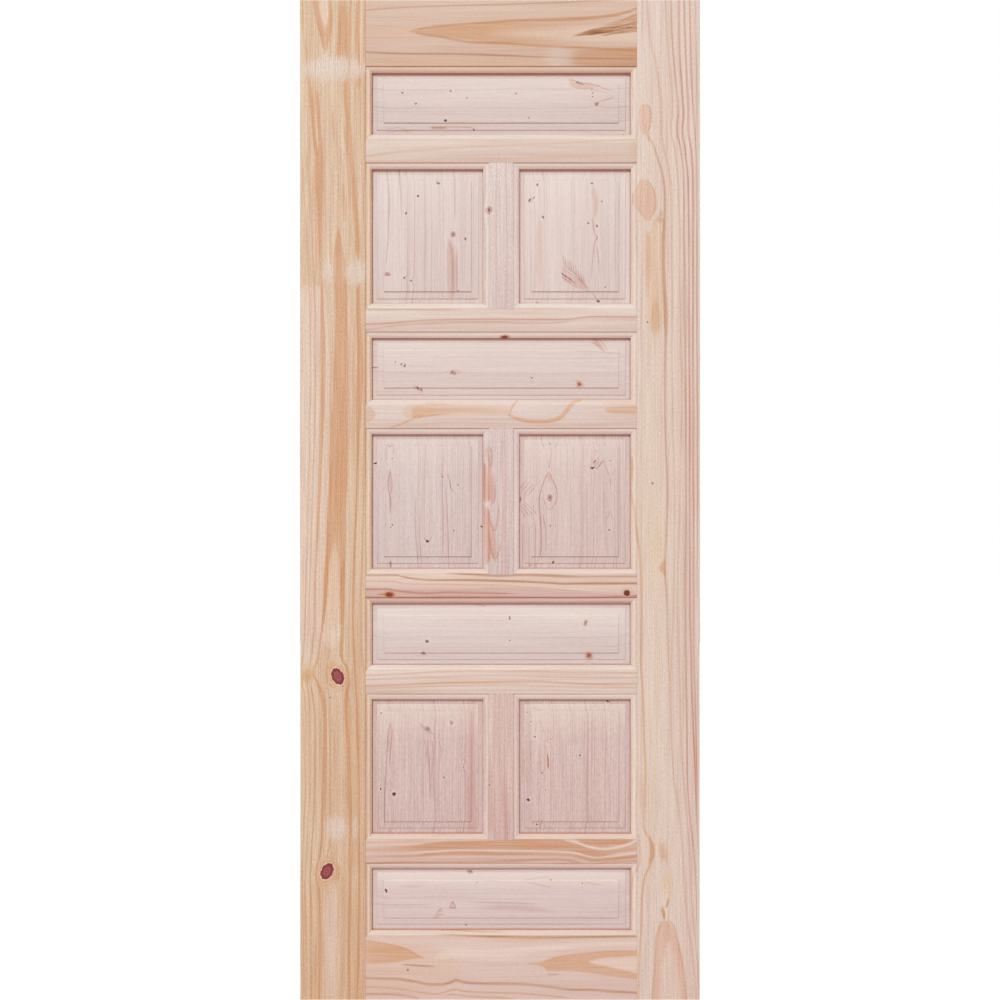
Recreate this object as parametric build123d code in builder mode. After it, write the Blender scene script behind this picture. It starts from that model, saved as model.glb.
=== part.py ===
from build123d import *
import os

# A panelled pine door leaf. Two stiles run its full height, and eight rails are coped over their
# moulded edges. Rows of one wide panel and rows of a pair of panels take turns, from the top down.
# Both faces are alike. X runs across the leaf from the hinge edge, -Y is the front and Z is up.

# The leaf
door_width = 800.0
door_height = 2000.0
door_thickness = 35.0

# Flat faces of the framing members, between their mouldings
hinge_stile_face = 131.0
latch_stile_face = 126.0
top_rail_face = 132.0
cross_rail_face = 45.0
bottom_rail_face = 126.0
muntin_face = 48.0

# Rows of panels
wide_row_height = 148.0
wide_rows = 4
paired_rows = wide_rows - 1

# Moulding stuck on the inner edges, and the groove between the front one and the back one
groove_width = 14.0
groove_depth = 12.0
quirk_depth = 2.0
quirk_flat = 1.5
ovolo_width = 10.5
ovolo_drop = 3.0

# Stub tenons and coped shoulders
cope_clearance = 0.1
tenon_clearance = 0.15
tenon_end_gap = 0.5

# Raised and fielded panels, which float in the grooves
panel_clearance = 0.25
panel_float = 2.0
panel_margin = 10.0
outer_step = 1.5
bevel_width = 14.0
bevel_rise = 2.2
inner_step = 2.0

# Worked out from the sizes above
half_thickness = door_thickness / 2
half_groove = groove_width / 2
half_tenon = half_groove - tenon_clearance
half_tongue = half_groove - panel_clearance
bevel_foot = half_tongue + outer_step
bevel_top = bevel_foot + bevel_rise
half_field = bevel_top + inner_step
sticking_width = quirk_flat + ovolo_width
quirk_bottom = quirk_depth - half_thickness
ovolo_foot = quirk_bottom + ovolo_drop
tongue_length = groove_depth - panel_float
cross_rails = wide_rows + paired_rows - 1
framing_height = top_rail_face + cross_rails * cross_rail_face + bottom_rail_face
paired_row_height = (door_height - framing_height - wide_rows * wide_row_height) / paired_rows
opening_left = hinge_stile_face
opening_right = door_width - latch_stile_face
muntin_left = (opening_left + opening_right - muntin_face) / 2
muntin_right = muntin_left + muntin_face

# Sketch planes through the middle of the thickness: one measures along X, the other up along Z
widthways = Plane.XY
upright = Plane(origin=(0, 0, 0), x_dir=(0, 0, 1), z_dir=(1, 0, 0))


# Each edge below is drawn from the front face to the middle of the thickness, and gives back its
# corner on the front face. The edge looks along way, which is 1 or -1.


def square_edge(at, way):
    """A plain sawn edge at the given place."""
    return Line((at, -half_thickness), (at, 0)) @ 0


def moulded_edge(at, way):
    """A quirk beside the flat face that ends at the given place, then an ovolo, a fillet and the groove."""
    lip = at + way * quirk_flat
    sight = at + way * sticking_width
    groove_floor = sight - way * groove_depth
    face = Polyline((at, -half_thickness), (at, quirk_bottom), (lip, quirk_bottom))
    TangentArc((lip, quirk_bottom), (sight, ovolo_foot), tangent=(way, 0))
    Polyline((sight, ovolo_foot), (sight, -half_groove), (groove_floor, -half_groove), (groove_floor, 0))
    return face @ 0


def coped_edge(at, way):
    """An end scribed over the moulding of the member whose flat face ends at the given place."""
    lip = at - way * quirk_flat
    sight = at - way * sticking_width
    hollow = sight - way * cope_clearance
    tenon_tip = sight + way * (groove_depth - tenon_end_gap)
    lip_bottom = quirk_bottom - cope_clearance
    shoulder = Polyline((at, -half_thickness), (at, lip_bottom), (lip, lip_bottom))
    TangentArc((lip, lip_bottom), (hollow, ovolo_foot), tangent=(-way, 0))
    Polyline((hollow, ovolo_foot), (hollow, -half_tenon), (tenon_tip, -half_tenon), (tenon_tip, 0))
    return shoulder @ 0


def raised_edge(at, way):
    """A panel's field, its step, bevel and margin, and the tongue past the sight line at the given place."""
    step = at - way * panel_margin
    field = step - way * bevel_width
    tongue_end = at + way * tongue_length
    raising = Polyline(
        (field, -half_field),
        (field, -bevel_top),
        (step, -bevel_foot),
        (step, -half_tongue),
        (tongue_end, -half_tongue),
        (tongue_end, 0),
    )
    return raising @ 0


def make_piece(label, across, along):
    """One piece of the leaf: what its outline across and its outline along have in common.

    Each outline is a low edge and its place, then a high edge and its place. The first is drawn
    widthways and the second upright.
    """
    low_side, left, high_side, right = across
    low_end, bottom, high_end, top = along
    with BuildPart() as piece:
        with BuildSketch(widthways):
            with BuildLine():
                Line(low_side(left, -1), high_side(right, 1))
                mirror(about=Plane.XZ)
            make_face()
        extrude(amount=door_height)
        with BuildSketch(upright):
            with BuildLine():
                Line(low_end(bottom, -1), high_end(top, 1))
                mirror(about=Plane.XZ)
            make_face()
        extrude(amount=door_width, mode=Mode.INTERSECT)
    piece.part.label = label
    export_step(piece.part, f"parts/{label}.step")


os.makedirs("parts", exist_ok=True)

# Stiles
full_height = (square_edge, 0, square_edge, door_height)
make_piece("hinge_stile", (square_edge, 0, moulded_edge, opening_left), full_height)
make_piece("latch_stile", (moulded_edge, opening_right, square_edge, door_width), full_height)

# Rows of panels, from the top down, each between the faces of two rails
row_heights = [wide_row_height, paired_row_height] * paired_rows + [wide_row_height]
row_tops = []
row_bottoms = []
row_top = door_height - top_rail_face
for row_height in row_heights:
    row_tops.append(row_top)
    row_bottoms.append(row_top - row_height)
    row_top -= row_height + cross_rail_face

# Rails
between_stiles = (coped_edge, opening_left, coped_edge, opening_right)
make_piece("top_rail", between_stiles, (moulded_edge, row_tops[0], square_edge, door_height))
make_piece("bottom_rail", between_stiles, (square_edge, 0, moulded_edge, row_bottoms[-1]))
for number, (rail_top, rail_bottom) in enumerate(zip(row_bottoms, row_tops[1:]), start=1):
    make_piece(f"cross_rail_{number}", between_stiles, (moulded_edge, rail_bottom, moulded_edge, rail_top))

# Wide panels
for number, row in enumerate(range(0, len(row_heights), 2), start=1):
    panel_height = (
        raised_edge, row_bottoms[row] + sticking_width, raised_edge, row_tops[row] - sticking_width
    )
    panel_width = (
        raised_edge, opening_left + sticking_width, raised_edge, opening_right - sticking_width
    )
    make_piece(f"wide_panel_{number}", panel_width, panel_height)

# Muntins, with a panel on each side
for number, row in enumerate(range(1, len(row_heights), 2), start=1):
    between_rails = (coped_edge, row_bottoms[row], coped_edge, row_tops[row])
    make_piece(
        f"muntin_{number}", (moulded_edge, muntin_left, moulded_edge, muntin_right), between_rails
    )
    panel_height = (
        raised_edge, row_bottoms[row] + sticking_width, raised_edge, row_tops[row] - sticking_width
    )
    for side, side_left, side_right in (
        ("left", opening_left, muntin_left),
        ("right", muntin_right, opening_right),
    ):
        panel_width = (
            raised_edge, side_left + sticking_width, raised_edge, side_right - sticking_width
        )
        make_piece(f"{side}_panel_{number}", panel_width, panel_height)
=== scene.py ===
import math
from collections import namedtuple

import bpy
import numpy as np
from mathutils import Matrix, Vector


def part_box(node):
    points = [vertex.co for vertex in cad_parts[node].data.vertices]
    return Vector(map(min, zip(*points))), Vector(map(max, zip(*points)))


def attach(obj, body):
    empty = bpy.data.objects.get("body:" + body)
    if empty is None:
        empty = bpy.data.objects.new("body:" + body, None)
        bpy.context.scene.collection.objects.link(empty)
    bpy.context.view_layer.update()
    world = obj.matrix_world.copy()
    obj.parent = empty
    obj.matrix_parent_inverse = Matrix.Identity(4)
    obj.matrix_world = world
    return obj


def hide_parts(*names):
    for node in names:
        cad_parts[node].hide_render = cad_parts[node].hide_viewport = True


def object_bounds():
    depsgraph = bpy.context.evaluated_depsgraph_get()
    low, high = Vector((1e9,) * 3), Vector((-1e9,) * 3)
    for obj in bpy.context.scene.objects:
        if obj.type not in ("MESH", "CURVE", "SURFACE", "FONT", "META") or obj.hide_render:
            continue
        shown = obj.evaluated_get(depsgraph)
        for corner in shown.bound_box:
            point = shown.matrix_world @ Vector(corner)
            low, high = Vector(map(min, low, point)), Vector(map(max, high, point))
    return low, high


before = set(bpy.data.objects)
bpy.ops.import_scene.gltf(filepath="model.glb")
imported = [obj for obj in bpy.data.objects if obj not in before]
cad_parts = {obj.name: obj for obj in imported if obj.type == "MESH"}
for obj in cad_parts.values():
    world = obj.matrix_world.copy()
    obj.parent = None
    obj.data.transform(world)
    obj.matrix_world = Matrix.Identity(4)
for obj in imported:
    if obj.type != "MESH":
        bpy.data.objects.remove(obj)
cad_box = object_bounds()

# A panelled pine door leaf, seen square on. Sizes are in millimetres until they reach a mesh.
MM = 0.001

# Moulding on the inner edges of stiles, rails and muntins
HALF_THICKNESS = 17.5
HALF_GROOVE = 7.0
QUIRK_DEPTH = 2.0
QUIRK_FLAT = 1.5
OVOLO_WIDTH = 10.5
OVOLO_DROP = 3.0
OVOLO_RADIUS = (OVOLO_WIDTH ** 2 + OVOLO_DROP ** 2) / (2 * OVOLO_DROP)
OVOLO_STEPS = 12
STICKING = QUIRK_FLAT + OVOLO_WIDTH
COPE_CLEARANCE = 0.1
TENON_END_GAP = 0.5
ARRIS = 0.4

# Raised and fielded panels
TONGUE_LENGTH = 10.0
PANEL_MARGIN = 10.0
BEVEL_WIDTH = 14.0
HALF_TONGUE = 6.75
BEVEL_FOOT = 8.25
BEVEL_TOP = 10.45
HALF_FIELD = 12.45
SANDED_EDGE = 1.2

# A floor that lies level with the face falls by this much, so that no two levels share a depth
DRAFT = 0.02
# Edges that turn by more degrees than this are shaded as sharp
SHARP_ANGLE = 35.0


def sanded_corner(radius, steps=3):
    """A quarter circle as insets r(1 - sin t) and depths r(1 - cos t), with t from 0 to a right angle."""
    turn = np.linspace(0, math.pi / 2, steps + 1)
    return radius * (1 - np.sin(turn)), radius * (1 - np.cos(turn))


def framing_profile():
    """How far each kind of edge stands out at each depth below the front face, carried on to the back.

    From the face down: a sanded arris, the quirk's wall and floor, the ovolo as an arc of a circle that
    starts level with the face, a square fillet, then the groove. A coped edge is drawn in by what the
    moulded one stands out and by its clearance, and a square edge by the arris alone.
    """
    inset, inset_depth = sanded_corner(ARRIS)
    turn = np.linspace(0, math.asin(OVOLO_WIDTH / OVOLO_RADIUS), OVOLO_STEPS + 1)
    groove_top = HALF_THICKNESS - HALF_GROOVE
    out = np.concatenate([0 * inset, [0], QUIRK_FLAT + OVOLO_RADIUS * np.sin(turn), [STICKING], [0]])
    depth = np.concatenate([
        inset_depth,
        [QUIRK_DEPTH - DRAFT],
        QUIRK_DEPTH + OVOLO_RADIUS * (1 - np.cos(turn)),
        [groove_top],
        [groove_top + DRAFT],
    ])
    arris = np.concatenate([inset, np.zeros(len(out) - len(inset))])
    play = np.where(depth > groove_top, TENON_END_GAP, COPE_CLEARANCE)
    edges = {"moulded": out - arris, "coped": -out - arris - play, "square": -arris}
    both = {kind: np.concatenate([edge, edge[::-1]]) for kind, edge in edges.items()}
    return both, np.concatenate([depth - HALF_THICKNESS, (HALF_THICKNESS - depth)[::-1]])


def panel_profile():
    """How far a panel stands past its sight line at each depth: field, step, bevel, step, then the tongue."""
    inset, fall = sanded_corner(SANDED_EDGE)
    step = -PANEL_MARGIN
    field = step - BEVEL_WIDTH
    out = np.concatenate([field - inset, [field], step - inset, [step], [TONGUE_LENGTH]])
    half = np.concatenate([
        HALF_FIELD - fall, [BEVEL_TOP], BEVEL_FOOT - fall, [HALF_TONGUE + DRAFT], [HALF_TONGUE],
    ])
    return {"raised": np.concatenate([out, out[::-1]])}, np.concatenate([-half, half[::-1]])


def carve(node, face, kinds, profile, material):
    """A board as a stack of rectangles: at each depth of the profile the face grows by its edge's offset.

    Corner k of level j lies at the face's corner plus the offsets of the two edges that meet there, and
    the walls join each level to the next one. The first and last levels close the board.
    """
    edges, depth = profile
    left, right, bottom, top = face
    x = np.stack([left - edges[kinds[0]], right + edges[kinds[1]]])
    y = np.repeat(depth[:, None], 4, axis=1)
    z = np.stack([bottom - edges[kinds[2]], top + edges[kinds[3]]])
    corners = np.stack([x[[0, 1, 1, 0]].T, y, z[[0, 0, 1, 1]].T], axis=-1)
    levels = len(depth)
    first = 4 * np.arange(levels - 1)[:, None]
    base = first + np.arange(4)
    onward = first + (np.arange(4) + 1) % 4
    walls = np.stack([base, base + 4, onward + 4, onward], axis=-1).reshape(-1, 4)
    caps = np.array([[0, 1, 2, 3], 4 * (levels - 1) + np.array([3, 2, 1, 0])])
    mesh = bpy.data.meshes.new(f"{node}_board")
    mesh.from_pydata((corners.reshape(-1, 3) * MM).tolist(), [], np.concatenate([caps, walls]).tolist())
    mesh.polygons.foreach_set("use_smooth", np.ones(len(mesh.polygons), dtype=bool))
    mesh.set_sharp_from_angle(angle=math.radians(SHARP_ANGLE))
    mesh.materials.append(material)
    piece = bpy.data.objects.new(f"{node}_board", mesh)
    bpy.context.scene.collection.objects.link(piece)
    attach(piece, "root")
    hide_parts(node)


# Materials. Each board has its own figure, because each was cut from another part of a log.


def linear(hex_colour):
    """An sRGB hex colour as linear RGBA."""
    channels = np.array([int(hex_colour[i:i + 2], 16) for i in (1, 3, 5)]) / 255
    low = channels / 12.92
    high = ((channels + 0.055) / 1.055) ** 2.4
    return (*np.where(channels <= 0.04045, low, high).tolist(), 1.0)


def add(tree, kind, sockets, **settings):
    """Adds a node, sets its properties, and links or fills its input sockets."""
    node = tree.nodes.new(kind)
    for name, value in settings.items():
        setattr(node, name, value)
    for socket, source in sockets.items():
        if isinstance(source, bpy.types.NodeSocket):
            tree.links.new(source, node.inputs[socket])
        else:
            node.inputs[socket].default_value = source
    return node


# Figure of a board. Places are pixels of the picture, and are laid out from the board's top left corner
# there. A pixel is 2 mm of the leaf.
PIXEL = 2.0

# A streak follows the grain: its path is x, y, half its width, which is 0 where it runs out, and, where
# it fades, its share of the strength
Streak = namedtuple("Streak", "colour strength soft path")
# A patch is a soft oval: its middle, its half width and half height, and its tilt in degrees
Patch = namedtuple("Patch", "colour strength soft x y wide high tilt", defaults=(0,))
# A knot is an oval of that kind which the grain lines part around, by bend in millimetres
Knot = namedtuple("Knot", "kind x y wide high tilt bend", defaults=(0, 3.0))

# A streak's middle, plus the margin, and its half width are kept in a curve node as shares of these
CURVE_ACROSS = 340.0
CURVE_MARGIN = 30.0
CURVE_HALF_WIDTH = 80.0

# Knots by kind: how far out from the middle, as a share of KNOT_REACH radii, in which colour, how strongly
KNOT_REACH = 2.0
KNOTS = {
    "dead": [
        (0.0, "#a85a66", 0.97), (0.12, "#8f3e46", 0.97), (0.22, "#a45159", 0.97), (0.33, "#88373a", 0.97),
        (0.44, "#7c3030", 0.97), (0.49, "#8c463c", 0.93), (0.53, "#f2c8b4", 0.85), (0.58, "#eec2aa", 0.75),
        (0.62, "#b9775a", 0.65), (0.67, "#d9ab86", 0.5), (0.8, "#d6a47c", 0.4), (1.0, "#d6a47c", 0.0),
    ],
    "sound": [
        (0.0, "#7a4441", 0.95), (0.13, "#8c5650", 0.85), (0.22, "#c09388", 0.55), (0.32, "#94625a", 0.7),
        (0.40, "#c9a296", 0.5), (0.48, "#e6d2c8", 0.5), (0.62, "#e2cac1", 0.3), (1.0, "#ddbba6", 0.0),
    ],
    "red": [(0.0, "#5a2420", 0.96), (0.3, "#6b2c27", 0.96), (0.38, "#7c3a30", 0.9), (0.46, "#dba78e", 0.55),
            (1.0, "#dba78e", 0.0)],
    "pin": [(0.0, "#6a3d38", 0.93), (0.26, "#7f504a", 0.88), (0.36, "#b08a80", 0.5), (0.5, "#e4d0c8", 0.35),
            (1.0, "#e4d0c8", 0.0)],
    "faint": [(0.0, "#8f625b", 0.9), (0.26, "#9c716a", 0.75), (0.42, "#d0b0a6", 0.35), (0.6, "#dcc4ba", 0.2),
              (1.0, "#dcc4ba", 0.0)],
    "dark": [(0.0, "#4d1f1e", 0.98), (0.26, "#5f2a2a", 0.97), (0.36, "#8c5550", 0.7), (0.5, "#e6d2c8", 0.4),
             (1.0, "#e6d2c8", 0.0)],
    "resin": [(0.0, "#8a4a3c", 0.9), (0.3, "#a5644f", 0.85), (0.5, "#cf9a84", 0.5), (1.0, "#dcb8a6", 0.0)],
    "resinous": [(0.0, "#74281d", 0.96), (0.35, "#8a3b28", 0.95), (0.5, "#b0653c", 0.8),
                 (0.7, "#cf8f60", 0.5), (1.0, "#d9a480", 0.0)],
}

# Noise drawn out along the grain: its width and length, its detail and distortion, and which axes the
# board's seed moves it along. Fibres are drawn wider than they are, so that they show.
DRAWN_OUT = {
    "fibre": (1.8, 110, 2.0, 0.0, (1, 0, 0)),
    "tone": (28, 380, 2.0, 0.0, (0, 1, 0)),
    "stray": (60, 180, 1.0, 0.0, (0, 0, 1)),
    "warm": (7, 240, 3.0, 0.4, (1, 0, 1)),
    "strand": (3, 150, 2.0, 0.0, (0, 1, 1)),
    "fleck": (2, 6, 2.0, 0.0, (0, 0, 0)),
}

# How far noise moves the ends and sides of patches, the sides of streaks and the rims of knots
PATCH_FRAY_ALONG = 70.0
PATCH_FRAY_ACROSS = 14.0
STREAK_FRAY = 1.2
KNOT_LUMP = 4.5

# Growth lines: how much they lean through the thickness and how far they stray, how far apart in the log
# the staves of a panel lay, how slowly and by how many rings their width varies, and the weakest of them
RING_LEAN = 0.7
LINE_STRAY = 8.0
STAVES_APART = 90.0
RINGS_VARY_OVER = 0.31
RINGS_VARY_BY = 3.0
WEAKEST_LINE = 0.25

# Ranges of the map nodes, by what they turn a number into
LINES_PARTED = {"From Min": 0.3, "From Max": 2.2, "To Max": 0.0}
LATEWOOD_RISES = {"From Min": 0.5, "From Max": 0.87}
LATEWOOD_ENDS = {"From Min": 0.88, "From Max": 1.0, "To Min": 1.0, "To Max": 0.0}
LATEWOOD_BY_TONE = {"From Min": 0.3, "From Max": 0.7, "To Min": 0.25, "To Max": 1.45}
WARM_BY_TONE = {"From Min": 0.8, "From Max": 1.35}
STRANDS = {"From Min": 0.35, "From Max": 0.62, "To Min": 0.6, "To Max": 1.1}
STAVE_SHADES = {"To Min": 0.975, "To Max": 1.015}
FLECKS = {"From Min": 0.6, "From Max": 1.4}
SQUARE_TO_FACE = {"From Min": 0.3, "From Max": 0.1, "To Max": 0.55}
CORNER_SHADE_BY_FILLET = {"From Min": -3.2, "From Max": 0.0, "To Max": 0.55}
UPPER_BEVEL_HIGHLIGHT = {"From Min": 0.05, "From Max": 0.15}
CROWN_BEGINS = {"From Min": 1.5, "From Max": 3.5, "To Max": 0.3}
CROWN_ENDS = {"From Min": 9.0, "From Max": 6.0}
SAWN_ENDS = {"From Min": 0.8, "From Max": 0.95, "To Max": 0.55}
ROUGHNESS = {"To Min": 0.72, "To Max": 0.52}

# The grey that flecks vary around, colours of the painted highlight, the painted shade in corners and the end
# grain, and the relief that sanding leaves
FLECK_MEAN = 0.985
PAINTED_HIGHLIGHT = "#f3e5d4"
PAINTED_CORNER_SHADE = "#bd6848"
END_GRAIN = "#a8794f"
LATEWOOD_RELIEF = 0.6
RELIEF_HEIGHT = 0.15
RELIEF_STRENGTH = 0.25
WOOD_IOR = 1.5
WOOD_SPECULAR = 0.25


def band_group():
    """A streak across the grain: 1 between its middle less and plus its half width, with soft sides."""
    group = bpy.data.node_groups.new("streak across the grain", "ShaderNodeTree")
    for name, kind in (("Across", "Float"), ("Curve", "Vector"), ("Soft", "Float")):
        group.interface.new_socket(name, in_out="INPUT", socket_type=f"NodeSocket{kind}")
    group.interface.new_socket("Share", in_out="OUTPUT", socket_type="NodeSocketFloat")
    given = add(group, "NodeGroupInput", {})
    curve = add(group, "ShaderNodeSeparateXYZ", {0: given.outputs["Curve"]})
    middle = add(group, "ShaderNodeMath", {0: curve.outputs["X"], 1: CURVE_ACROSS, 2: -CURVE_MARGIN},
                 operation="MULTIPLY_ADD")
    aside = add(group, "ShaderNodeMath", {0: given.outputs["Across"], 1: middle.outputs[0]},
                operation="SUBTRACT")
    away = add(group, "ShaderNodeMath", {0: aside.outputs[0]}, operation="ABSOLUTE")
    half = add(group, "ShaderNodeMath", {0: curve.outputs["Y"], 1: CURVE_HALF_WIDTH}, operation="MULTIPLY")
    inner = add(group, "ShaderNodeMath", {0: half.outputs[0], 1: given.outputs["Soft"]}, operation="SUBTRACT")
    outer = add(group, "ShaderNodeMath", {0: half.outputs[0], 1: given.outputs["Soft"]}, operation="ADD")
    share = add(group, "ShaderNodeMapRange",
                {"Value": away.outputs[0], "From Min": inner.outputs[0], "From Max": outer.outputs[0],
                 "To Min": 1.0, "To Max": 0.0}, interpolation_type="SMOOTHSTEP")
    strength = add(group, "ShaderNodeMath", {0: share.outputs[0], 1: curve.outputs["Z"]},
                   operation="MULTIPLY")
    add(group, "NodeGroupOutput", {"Share": strength.outputs[0]})
    return group


streak_share = band_group()


def pine(name, face, upright, corner, early, late, spacing, lines, seed, figure, streaky, grit, stave=0.0,
         bevel=0.0):
    """Planed and sanded softwood, left bare, on one board.

    Pale earlywood with darker latewood lines along the grain, at that spacing in millimetres. The lines
    part around knots, run aslant through the thickness, and show their ends as darker end grain. Sanded
    flat it is nearly matt, with a fine fibre that catches the light. A panel is glued up from staves of
    that width, and its upper bevel gets a painted highlight of that share.
    """
    left, right, bottom, top = face
    half_size = ((right - left) / 2, (top - bottom) / 2, 0)
    material = bpy.data.materials.new(name)
    material.use_nodes = True
    tree = material.node_tree
    tree.nodes.clear()

    coordinates = add(tree, "ShaderNodeTexCoord", {})
    placed = add(tree, "ShaderNodeMapping",
                 {"Vector": coordinates.outputs["Object"], "Location": (-left, HALF_THICKNESS, top),
                  "Scale": (1 / MM, 1 / MM, -1 / MM)})
    split = add(tree, "ShaderNodeSeparateXYZ", {0: placed.outputs[0]})
    if upright:
        across, along, length = split.outputs["X"], split.outputs["Z"], top - bottom
    else:
        across, along, length = split.outputs["Z"], split.outputs["X"], right - left
    depth = split.outputs["Y"]
    flat = add(tree, "ShaderNodeCombineXYZ", {"X": split.outputs["X"], "Y": split.outputs["Z"]}).outputs[0]
    grain = add(tree, "ShaderNodeCombineXYZ", {"X": across, "Y": depth, "Z": along}).outputs[0]

    noise = {}
    for use, (breadth, stretch, detail, distortion, shift) in DRAWN_OUT.items():
        place = add(tree, "ShaderNodeMapping",
                    {"Vector": grain, "Location": tuple(seed * axis for axis in shift),
                     "Scale": (1 / breadth, 1 / breadth, 1 / stretch)})
        noise[use] = add(tree, "ShaderNodeTexNoise",
                         {"Vector": place.outputs[0], "Scale": 1.0, "Detail": detail,
                          "Distortion": distortion}).outputs[0]
    fibre = noise["fibre"]
    tone = noise["tone"]

    # Patches fray most along the grain, streaks a little across it, and knots are never quite round
    frayed = {}
    for use, source, fray, start in (
        ("patch along", fibre, PATCH_FRAY_ALONG, along),
        ("patch across", noise["stray"], PATCH_FRAY_ACROSS, across),
        ("streak", fibre, STREAK_FRAY, across),
    ):
        far = add(tree, "ShaderNodeMath", {0: source, 1: fray, 2: start}, operation="MULTIPLY_ADD")
        frayed[use] = add(tree, "ShaderNodeMath", {0: far.outputs[0], 1: fray / 2},
                          operation="SUBTRACT").outputs[0]
    sides = ("patch across", "patch along") if upright else ("patch along", "patch across")
    patch_place = add(tree, "ShaderNodeCombineXYZ",
                      {"X": frayed[sides[0]], "Y": frayed[sides[1]]}).outputs[0]
    lump = add(tree, "ShaderNodeTexNoise", {"Vector": flat, "Scale": 1 / KNOT_LUMP, "Detail": 1.0},
               noise_dimensions="2D")
    lumpy = add(tree, "ShaderNodeVectorMath", {0: lump.outputs["Color"], 1: (0.5, 0.5, 0.5)},
                operation="SUBTRACT")
    knot_place = add(tree, "ShaderNodeVectorMath",
                     {0: lumpy.outputs[0], 1: (KNOT_LUMP, KNOT_LUMP, 0.0), 2: flat},
                     operation="MULTIPLY_ADD").outputs[0]

    # Distance from each oval, and growth lines, numbered across the board, which part around the knots
    aslant = add(tree, "ShaderNodeMath", {0: depth, 1: RING_LEAN, 2: across}, operation="MULTIPLY_ADD")
    bent = add(tree, "ShaderNodeMath", {0: noise["stray"], 1: LINE_STRAY, 2: aslant.outputs[0]},
               operation="MULTIPLY_ADD").outputs[0]
    away = {}
    for mark in figure:
        if isinstance(mark, Streak):
            continue
        is_knot = isinstance(mark, Knot)
        unit = PIXEL * KNOT_REACH if is_knot else PIXEL
        oval = add(tree, "ShaderNodeMapping",
                   {"Vector": knot_place if is_knot else patch_place,
                    "Location": (PIXEL * (mark.x - corner[0]), PIXEL * (mark.y - corner[1]), 0),
                    "Rotation": (0, 0, math.radians(mark.tilt)),
                    "Scale": (unit * mark.wide, unit * mark.high, 1)}, vector_type="TEXTURE")
        away[mark] = add(tree, "ShaderNodeVectorMath", {0: oval.outputs[0]},
                         operation="LENGTH").outputs["Value"]
        if is_knot:
            push = add(tree, "ShaderNodeMapRange", {"Value": away[mark], "To Min": mark.bend, **LINES_PARTED},
                       interpolation_type="SMOOTHERSTEP")
            bent = add(tree, "ShaderNodeMath", {0: bent, 1: push.outputs[0]}, operation="ADD").outputs[0]
    if stave:
        stave_number = add(tree, "ShaderNodeMath", {0: across, 1: stave}, operation="DIVIDE").outputs[0]
        stave_floor = add(tree, "ShaderNodeMath", {0: stave_number}, operation="FLOOR").outputs[0]
        stave_seed = add(tree, "ShaderNodeMath", {0: stave_floor, 1: seed}, operation="ADD").outputs[0]
        chance = add(tree, "ShaderNodeTexWhiteNoise", {"W": stave_seed},
                     noise_dimensions="1D").outputs["Value"]
        bent = add(tree, "ShaderNodeMath", {0: chance, 1: STAVES_APART, 2: bent},
                   operation="MULTIPLY_ADD").outputs[0]
    number = add(tree, "ShaderNodeMath", {0: bent, 1: 1 / spacing, 2: seed},
                 operation="MULTIPLY_ADD").outputs[0]
    uneven_place = add(tree, "ShaderNodeMath", {0: number, 1: RINGS_VARY_OVER}, operation="MULTIPLY")
    uneven = add(tree, "ShaderNodeTexNoise", {"W": uneven_place.outputs[0], "Scale": 1.0, "Detail": 1.0},
                 noise_dimensions="1D").outputs[0]
    year = add(tree, "ShaderNodeMath", {0: uneven, 1: RINGS_VARY_BY, 2: number},
               operation="MULTIPLY_ADD").outputs[0]
    whole = add(tree, "ShaderNodeMath", {0: year}, operation="FLOOR").outputs[0]
    part = add(tree, "ShaderNodeMath", {0: year}, operation="FRACT").outputs[0]
    vigour = add(tree, "ShaderNodeTexWhiteNoise", {"W": whole}, noise_dimensions="1D").outputs["Value"]
    rise = add(tree, "ShaderNodeMapRange", {"Value": part, **LATEWOOD_RISES},
               interpolation_type="SMOOTHSTEP").outputs[0]
    fall = add(tree, "ShaderNodeMapRange", {"Value": part, **LATEWOOD_ENDS},
               interpolation_type="SMOOTHSTEP").outputs[0]
    latewood = add(tree, "ShaderNodeMath", {0: rise, 1: fall}, operation="MULTIPLY").outputs[0]
    grown = add(tree, "ShaderNodeMapRange",
                {"Value": vigour, "To Min": WEAKEST_LINE * lines, "To Max": lines})
    shown = add(tree, "ShaderNodeMapRange", {"Value": tone, **LATEWOOD_BY_TONE})
    for share in (grown, shown):
        latewood = add(tree, "ShaderNodeMath", {0: latewood, 1: share.outputs[0]},
                       operation="MULTIPLY").outputs[0]

    # Earlywood, its latewood lines, and warmer streaks of the same colour
    warm_tone = add(tree, "ShaderNodeMath", {0: noise["warm"], 1: tone}, operation="ADD").outputs[0]
    warmth = add(tree, "ShaderNodeMapRange",
                 {"Value": warm_tone, "To Max": streaky, **WARM_BY_TONE}).outputs[0]
    colour = linear(early)
    for amount in (latewood, warmth):
        colour = add(tree, "ShaderNodeMix", {"Factor": amount, 6: colour, 7: linear(late)},
                     data_type="RGBA").outputs[2]

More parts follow.
